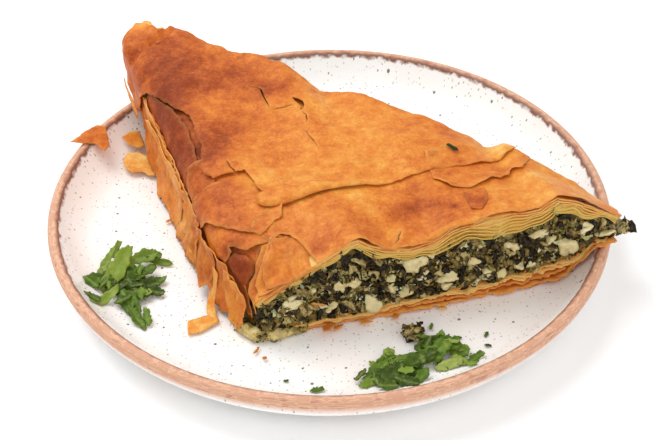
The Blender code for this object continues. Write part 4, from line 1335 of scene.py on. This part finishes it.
def makeFilling(tree):
    body = fillingBody()
    egg = fillingMaterial()
    body.data.materials.append(egg)
    hand(body, "filling", "filling")
    shred = tonedMaterial("choppedSpinach", filling["shredColours"],
                          {"Roughness": 0.26, "IOR": 1.42, "Specular IOR Level": 0.3}, 1.3, 0.3)
    leek = tonedMaterial("softLeek", filling["leekColours"], {
        "Roughness": 0.36, "IOR": 1.42, "Subsurface Weight": 0.25, "Subsurface Scale": mm}, 1.4, 0.2)
    feta = tonedMaterial("crumbledFeta", filling["fetaColours"], {
        "Roughness": 0.5, "IOR": 1.4, "Subsurface Weight": 0.3, "Subsurface Scale": 1.5 * mm}, 1.4, 0.35)
    for name, key, finish in (("spinach_shreds", "shreds", shred), ("leek_strips", "leeks", leek)):
        strew(name, tree, body, ribbonBits(filling[key]["shapes"]), filling[key], finish)
    strew("feta_crumbs", tree, body, [lumpBit("crumb%d" % i, i * 7.0, 0.8) for i in range(3)],
          filling["crumbs"], feta)
    makeFeta(feta)
    makeEggRoll(tree, egg, shred)
    return egg, shred


# loose pieces on the plate
def slopedSurface(height, slope, outline):
    # a plane that climbs outwards, from height at the outline's point nearest to the plate's middle
    flat = np.array([p[:2] for p in outline], float)
    nearest = np.hypot(flat[:, 0], flat[:, 1]).min()
    outward = flat.mean(0) / np.linalg.norm(flat.mean(0))

    def surface(x, y):
        z = height + slope * (x * outward[0] + y * outward[1] - nearest)
        normal = np.array([-slope * outward[0], -slope * outward[1], 1.0])
        return np.stack([x, y, z], axis=-1), np.tile(normal / np.linalg.norm(normal), (len(x), 1))
    return surface


# each flake's height at its inner end, slope outwards, browning and outline in x and y
looseFlakes = {
    "flake_rim": (18.9, 0.26, 0.5, [(-106, 37.5), (-102.8, 42), (-101, 45.8), (-96.7, 50.5), (-93.2, 50.4),
                                    (-90.5, 40), (-92, 36), (-96.5, 39.5), (-101.6, 38)]),
    "flake_back": (11.1, 0.34, 0.3, [(-87, 51), (-84.5, 55), (-80.8, 57.2), (-79.4, 55.5), (-78.2, 52),
                                      (-77.4, 49), (-79.5, 47.2), (-84, 48)]),
    "flake_side": (8.5, 0.12, 0.12, [(-85.5, 41), (-84.3, 45), (-79.8, 46.2), (-76.4, 44), (-74.2, 41.5),
                                    (-72.4, 36.5), (-71, 32), (-74, 31.5), (-77, 34), (-81, 32.8),
                                    (-84.5, 35)]),
}


def makeFlakes(material):
    for i, (name, (height, slope, tone, outline)) in enumerate(looseFlakes.items()):
        leaf = {"outline": outline, "ragged": 0.45, "grid": 0.9, "curl": 0.8, "buckled": False, "tone": tone,
                "dome": 0.6, "domeWidth": 3.0}
        parts = [leafMesh(leaf, 131 + i, slopedSurface(height, slope, outline))]
        sheetPiece("baked_" + name, parts, filo["leaf"], material, "filo", name)


# bits of leaf that broke off the front: (x, y, height, length, width, heading, slope, browning)
filoCrumbs = [(-0.6, -61.6, 9.3, 6.5, 4.5, 80, 0.25, 0.40), (2.6, -60.6, 8.8, 4, 3, 20, 0.1, 0.30),
              (12.3, -58.2, 9.0, 5.5, 3.2, 10, 0.2, 0.34), (-4.0, -59.4, 17.0, 5.5, 3.5, 25, 1.2, 0.42),
              (24, -55.2, 8.8, 3.6, 2.4, 40, 0.2, 0.5), (42, -51, 8.9, 4.2, 2.4, 10, 0.2, 0.2),
              (-27, -72, 8.2, 3.2, 1.4, 60, 0.1, 0.5), (-24, -76, 8.2, 2.0, 1.2, 20, 0.1, 0.6),
              (-47, -24, 8.2, 2.6, 1.4, 70, 0.1, 0.4), (-64, 3, 8.2, 2.8, 1.6, 30, 0.1, 0.35)]


def makeFiloCrumbs(material):
    parts = []
    for i, (x, y, height, length, width, heading, slope, tone) in enumerate(filoCrumbs):
        turn = radians(heading)
        outline = []
        for k in range(7):
            angle = 2 * pi * (k + 0.35 * sin(3.1 * k + i)) / 7
            reach = 1 + 0.42 * sin(4.7 * k + 2.3 * i)
            a, b = cos(angle) * length / 2 * reach, sin(angle) * width / 2 * reach
            outline.append((x + a * cos(turn) - b * sin(turn), y + a * sin(turn) + b * cos(turn)))
        leaf = {"outline": outline, "ragged": 0.35, "grid": 0.8, "curl": 0.5, "curlWidth": 1.2,
                "buckled": False, "tone": tone}
        parts.append(leafMesh(leaf, 151 + i, slopedSurface(height, slope, outline)))
    sheetPiece("filo_crumbs", parts, filo["leaf"], material, "filo")


strip = {
    # rails of the strip that hangs off the outer wall, as (s, t, height)
    "near": [(-8.2, 20.5, 24), (-8.8, 21, 16), (-10.2, 20, 10.5), (-10.7, 16.5, 8.3), (-10.6, 12.8, 8.1),
             (-18, 9, 8.1), (-23.5, 8.8, 8.1)],
    "far": [(-8.4, 25.5, 24), (-9.2, 25.5, 16), (-11.4, 24.5, 10.5), (-13.4, 20, 8.3), (-13.8, 17.4, 8.1),
            (-17, 16.8, 8.1), (-21.5, 16, 8.1)],
    "steps": 60, "across": 7, "browning": 0.14,
}


def makeHangingStrip(material):
    near, far = np.array(strip["near"], float), np.array(strip["far"], float)
    places = np.linspace(0, len(near) - 1, strip["steps"] + 1)
    points, edgePale = [], []
    for i, place in enumerate(places):
        a, b = (np.array([np.interp(place, range(len(rail)),
                                    rail[:, k]) for k in range(3)]) for rail in (near, far))
        for j in range(strip["across"] + 1):
            f = j / strip["across"]
            jag = 0.45 * wave(i * 0.5, f * 9, 3, 2.2) * (abs(2 * f - 1) ** 2)
            s, t, z = a + (b - a) * (f + 0.12 * jag)
            x, y = plan(s, t)
            lift = 0.9 * sin(pi * f) * (0.4 + 0.6 * wave(i, f, 8, 12) ** 2) + 0.4 + 0.35 * wave(x, y, z, 5)
            points.append((x - lift * 0.4, y - lift * 0.2, z + lift))
            edgePale.append(abs(2 * f - 1) ** 4)
    faces = []
    for i in range(strip["steps"]):
        for j in range(strip["across"]):
            a = i * (strip["across"] + 1) + j
            faces.append((a, a + 1, a + strip["across"] + 2, a + strip["across"] + 1))
    a, b, c, d = (np.array([points[f[k]] for f in faces]) for k in range(4))
    if np.cross(c - a, d - b)[:, 2].sum() < 0:
        faces = [f[::-1] for f in faces]
    sheetPiece("hanging_filo_strip", [(np.array(points), faces, {
        "browning": np.full(len(points), strip["browning"]), "edgePale": np.array(edgePale),
        "moist": np.zeros(len(points))})], filo["leaf"], material, "filo", "hanging_strip")


# parsley
herb = {
    "colours": [(0.0, "1F2D07"), (0.3, "374B0C"), (0.5, "527018"), (0.7, "7C9232"), (0.85, "9FAA5C"),
                (1.0, "C2C98E")],
    "vein": "A0B05C", "mottling": 0.35,
    "leaf": 0.22, "speck": 0.2,          # thickness of a leaf in a heap and of a single speck
    "scraps": 16,                        # small cut bits in each heap
    "lean": radians(15),                 # the leaves of a heap all lean a little towards the front
}


def parsleyMaterial():
    # fresh flat-leaf parsley: waxy deep green above, paler veins and a matt sage underside
    material, tree, shader, place = newMaterial("choppedParsley", {
        "IOR": 1.42, "Roughness": 0.42, "Specular IOR Level": 0.22})
    tone, vein = pointValues(tree, "tone", "vein")
    mottle = addNode(tree, "ShaderNodeTexNoise", {"Scale": sized(2.5), "Detail": 3}, {"Vector": place})
    leaf = addNode(tree, "ShaderNodeValToRGB", {"stops": herb["colours"]},
                   {"Fac": mottled(tree, tone, mottle, herb["mottling"])})
    veined = addNode(tree, "ShaderNodeMix", {"data_type": "RGBA", 7: toLinear(herb["vein"])},
                     {0: vein, 6: leaf.outputs["Color"]})
    fine = addNode(tree, "ShaderNodeTexNoise", {"Scale": sized(0.8), "Detail": 2}, {"Vector": place})
    finishShader(tree, shader, veined.outputs[2], fine, 0.4, 0.25)
    return material


def parsleyPiece(length, width, lobes, curl, fold, seed):
    # a cut piece of leaf about its own middle, lying along X: pointed lobes with narrow notches between
    # them, veined, creased and curled
    outline = []
    for k in range(72):
        angle = 2 * pi * k / 72
        x, y = cos(angle), sin(angle)
        tooth = 1.12 - lobes * abs(sin(angle * 2.5 + seed)) ** 0.7 * 0.9
        tooth -= 0.16 * abs(sin(angle * 6.5 + seed * 2))
        tooth += 0.22 * wave(x * 2, y * 2, seed, 0.9)
        outline.append((x * length / 2 * (0.7 + 0.3 * tooth), y * width / 2 * tooth))
    flat, faces, distance = fillLoop([Vector(p) for p in outline], [], max(0.7, width / 9),
                                     int(seed * 10) + 3)
    x, y = flat[:, 0], flat[:, 1]
    side = np.abs(np.sin((np.abs(y) - x * 0.7) / max(width, 1) * 9))
    vein = np.maximum(np.exp(-np.abs(y) / 0.25), 0.7 * np.exp(-side / 0.12))
    z = fold * np.abs(y) + curl * (x / length) ** 2 * length - 0.3 * np.exp(-np.abs(y) / 0.5)
    z += 0.6 * waves(x, y, seed, 4.5) + 0.25 * waves(x, y, seed, 1.9)
    z += 0.4 * waves(x, y, seed + 5, 1.8) * np.exp(-distance / 1.2)
    return np.stack([x, y, z], axis=1), faces, vein * 0.55


def parsleyScraps(leaves, count, seed):
    # small cut bits lying on and between the leaves of a heap
    rng = np.random.default_rng(seed)
    scraps = []
    for _ in range(count):
        x, y, over = leaves[rng.integers(len(leaves))][:3]
        scraps.append((x + rng.uniform(-5, 5), y + rng.uniform(-4, 4), over + rng.uniform(0, 1.5),
                       rng.uniform(4, 9), rng.uniform(2, 4.5), 0.4, rng.uniform(0, 180),
                       rng.uniform(-10, 10), rng.uniform(-25, 25), rng.uniform(0.1, 0.4), 0.2,
                       rng.uniform(0.2, 0.8)))
    return scraps


# (x, y, height over the plate, length, width, lobes, heading, pitch, roll in degrees, curl, fold, tone)
parsleyLeft = [
    (-77, -36, 1.6, 16, 12, 0.35, 20, 0, 8, 0.10, 0.10, 0.34),
    (-73.6, -39, 2.2, 15, 11, 0.40, -50, 10, -10, 0.15, 0.15, 0.30),
    (-70, -37, 1.8, 12, 8, 0.45, 10, 6, 15, 0.20, 0.12, 0.22),
    (-71.4, -31, 2.8, 13, 8, 0.30, 35, -4, -20, 0.10, 0.20, 0.40),
    (-81, -31, 5.2, 23, 7.5, 0.20, 66, 6, 16, 0.05, 0.14, 0.70),
    (-86, -35, 2.0, 12, 7, 0.35, -25, 8, 10, 0.30, 0.25, 0.36),
    (-90, -37, 1.2, 8, 5, 0.40, -40, 0, 20, 0.40, 0.20, 0.45),
    (-86, -25, 2.4, 16, 4.5, 0.30, 66, 10, -25, 0.12, 0.30, 0.62),
    (-83, -16, 2.4, 9, 3.6, 0.40, 72, 0, 20, 0.15, 0.25, 0.64),
    (-72.1, -22, 3.2, 13, 7.0, 0.35, 16, 4, 12, 0.25, 0.20, 0.60),
    (-68.5, -20, 2.8, 8, 6.0, 0.35, -20, 0, -18, 0.30, 0.25, 0.50),
    (-65.3, -22.5, 1.2, 10, 3.0, 0.20, -12, 0, 20, 0.12, 0.30, 0.62),
    (-75, -47, 2.0, 14, 9, 0.35, -58, 0, 10, 0.20, 0.20, 0.44),
    (-71.4, -55, 1.2, 13, 5, 0.35, -58, 0, -15, 0.20, 0.30, 0.44),
    (-84, -46, 1.4, 15, 4.5, 0.30, 50, 0, 20, 0.15, 0.30, 0.74),
    (-88, -48, 1.0, 8, 3.0, 0.40, -32, 0, 10, 0.2, 0.2, 0.34),
    (-66.4, -40, 1.6, 9, 5.5, 0.45, -15, 0, 10, 0.25, 0.2, 0.26),
    (-78, -29, 2.6, 11, 7, 0.35, -35, 8, 12, 0.2, 0.2, 0.44),
    (-65.6, -34, 1.5, 8, 4, 0.45, 25, 5, 0, 0.3, 0.2, 0.44),
    (-80, -39, 3.0, 10, 5, 0.35, 15, 10, -15, 0.3, 0.2, 0.28),
]
parsleyFront = [
    (22.1, -85.8, 1.8, 15, 10, 0.38, 15, 0, 8, 0.12, 0.15, 0.30),
    (16.2, -83.8, 1.6, 12, 7, 0.40, 40, 6, -12, 0.2, 0.2, 0.48),
    (28, -82.9, 2.4, 15, 9, 0.35, 40, 6, 12, 0.15, 0.2, 0.36),
    (32.5, -79.1, 2.8, 14, 8, 0.38, 30, 0, -15, 0.2, 0.2, 0.26),
    (36.9, -76.2, 3.2, 15, 8, 0.32, 34, 4, 14, 0.2, 0.25, 0.52),
    (41.4, -72.5, 3.0, 12, 9, 0.35, 20, 0, -10, 0.25, 0.2, 0.44),
    (45.8, -73.4, 1.8, 9, 7, 0.35, -20, 0, 12, 0.3, 0.2, 0.55),
    (35.4, -70.5, 2.2, 13, 5, 0.30, 26, 0, 22, 0.15, 0.3, 0.34),
    (26.6, -89.5, 1.2, 10, 6, 0.40, -20, 0, 0, 0.2, 0.2, 0.26),
    (31.7, -87.7, 1.4, 9, 5, 0.38, 50, 0, 15, 0.3, 0.2, 0.46),
    (13.2, -89.5, 1.0, 8, 4, 0.40, 20, 0, 10, 0.2, 0.2, 0.60),
    (18.4, -78.2, 1.4, 10, 3.4, 0.30, 42, 0, 15, 0.2, 0.3, 0.58),
    (42.1, -81, 1.2, 11, 4.5, 0.22, 18, 0, 8, 0.08, 0.1, 0.82),
    (46.5, -79.1, 1.2, 8, 4, 0.3, -30, 0, -8, 0.2, 0.2, 0.74),
    (50.2, -82, 0.9, 4, 2.4, 0.4, 10, 0, 0, 0.2, 0.2, 0.6),
    (19.9, -91.5, 1.0, 8, 5, 0.4, 0, 0, 6, 0.2, 0.2, 0.38),
    (39.1, -68.7, 2.6, 8, 4, 0.4, 60, 5, 10, 0.3, 0.3, 0.62),
    (25.1, -78.2, 2.6, 10, 5, 0.38, 5, 5, -18, 0.3, 0.25, 0.54),
]


def makeParsleyHeap(name, leaves, material, node):
    parts = []
    heap = leaves + parsleyScraps(leaves, herb["scraps"], len(name))
    for i, (x, y, over, length, width, lobes, heading, pitch, roll, curl, fold, tone) in enumerate(heap):
        shape, faces, vein = parsleyPiece(length, width, lobes, curl, fold, 1.7 * i + 0.3)
        turn = Matrix.Rotation(herb["lean"], 3, "X") @ Matrix.Rotation(radians(heading), 3, "Z")
        turn = turn @ Matrix.Rotation(radians(-pitch), 3, "Y") @ Matrix.Rotation(radians(roll), 3, "X")
        placed = shape @ np.array(turn).T + np.array((x, y, 0))
        rest = restHeight(placed[:, 0], placed[:, 1], 0.5, 0.35)
        placed[:, 2] += over + float(restHeight(x, y, 0.5, 0.2))
        placed[:, 2] = np.maximum(placed[:, 2], rest)
        veinShow = 0.4 if tone > 0.7 else 1.0    # the veins hardly show on a pale underside
        parts.append((placed, faces, {"tone": np.full(len(placed), tone), "vein": vein * veinShow}))
    sheetPiece(name, parts, herb["leaf"], material, "parsley", node)


# single specks of herb: (x, y, length, width, heading, tone)
herbSpecks = [(37, 58, 4, 2.2, 10, 0.2), (60, 42, 6, 1.6, -40, 0.3), (57, 44, 3, 1.5, 30, 0.4),
              (37, 43, 3, 2, 0, 0.35), (57, -64, 3.4, 1.5, 70, 0.45), (57, -70.5, 2.8, 1.4, -10, 0.2),
              (37, -60, 3.5, 1.4, 75, 0.5), (-16, -87, 2, 1.2, 0, 0.3), (-5, -92.5, 5.5, 3.2, 15, 0.45),
              (15, -79, 2.5, 3.5, 60, 0.7), (-35, -60, 1.2, 1.2, 0, 0.2), (47, -66, 2.0, 1.0, 20, 0.3),
              (-51, -14, 1.6, 1.0, 0, 0.6)]


bakedLeaf = (91, 41, 0.02, 2.3)          # s, t, tone and height over the crust


def makeHerbSpecks(material):
    parts = []
    for i, (x, y, length, width, heading, tone) in enumerate(herbSpecks):
        shape, faces, vein = parsleyPiece(length, width, 0.3, 0.25, 0.25, 50 + i)
        placed = shape @ np.array(Matrix.Rotation(radians(heading), 3, "Z")).T + np.array((x, y, 0))
        placed[:, 2] = np.maximum(placed[:, 2] + 0.5, 0.3) + restHeight(placed[:, 0], placed[:, 1], 0.4, 0.1)
        parts.append((placed, faces, {"tone": np.full(len(placed), tone), "vein": vein * 0.3}))
    # the dark leaf baked onto the crust
    s, t, tone, over = bakedLeaf
    shape, faces, vein = parsleyPiece(5.5, 2.6, 0.15, 0.05, 0.05, 80)
    ground, normals = crustSurface(s + shape[:, 0] * 0.6, t - shape[:, 0] * 0.75 + shape[:, 1])
    parts.append((ground + normals * (over + shape[:, 2:]), faces,
                  {"tone": np.full(len(shape), tone), "vein": vein * 0}))
    sheetPiece("herb_specks", parts, herb["speck"], material, "parsley")


# a crumb of filling that fell on the plate
fallen = {
    "place": (30.5, -64.6, 2.2), "size": (3.9, 3.2, 2.5), "lowest": -2.0,
    "shreds": {"density": 0.2, "sizes": (1.6, 4.2), "lean": 1.0, "sink": 0.0, "seed": 3,
               "shapes": [(0.4, 2, 0.5, 0.06), (-0.3, -1.8, 0.35, 0.08)]},
}


def makeFillingCrumb(tree, egg, shred):
    x, y, over = fallen["place"]
    wide, deep, tall = fallen["size"]
    bm = bmesh.new()
    bmesh.ops.create_icosphere(bm, subdivisions=4, radius=1)
    for vert in bm.verts:
        p = vert.co.copy()
        swell = 1 + 0.35 * wave(p.x, p.y, p.z, 0.7) + 0.12 * wave(p.x, p.y, p.z, 0.25)
        vert.co = Vector((x + p.x * wide * swell, y + p.y * deep * swell,
                          plate["wellHeight"] + over + max(p.z * tall * swell, fallen["lowest"]))) * mm
    piece = bmeshObject("fallen_filling", bm)
    mesh = piece.data
    setValues(mesh, {"custard": [0.6 + 0.8 * wave(*(v.co / mm), 2.0) for v in mesh.vertices],
                     "strew": np.ones(len(mesh.vertices))})
    mesh.materials.append(egg)
    hand(piece, "filling", "filling_crumb")
    shreds = fallen["shreds"]
    strew("fallen_shreds", tree, piece, ribbonBits(shreds["shapes"]), shreds, shred)


# everything
makeStudio()
print("plate")
makePlate()
print("crust")
pastry = filoMaterial("ovenBakedFilo")
pastryBase = filoMaterial("crispBaseFilo", 0.06)
makeCrust(pastry)
makeBottomCrust(pastryBase)
print("filling")
strewTree = scatterTree()
egg, shred = makeFilling(strewTree)
print("loose pieces")
makeFlakes(pastry)
makeHangingStrip(pastry)
makeFiloCrumbs(pastry)
parsley = parsleyMaterial()
makeParsleyHeap("chopped_parsley_left", parsleyLeft, parsley, "parsley_left")
makeParsleyHeap("chopped_parsley_front", parsleyFront, parsley, "parsley_front")
makeHerbSpecks(parsley)
makeFillingCrumb(strewTree, egg, shred)
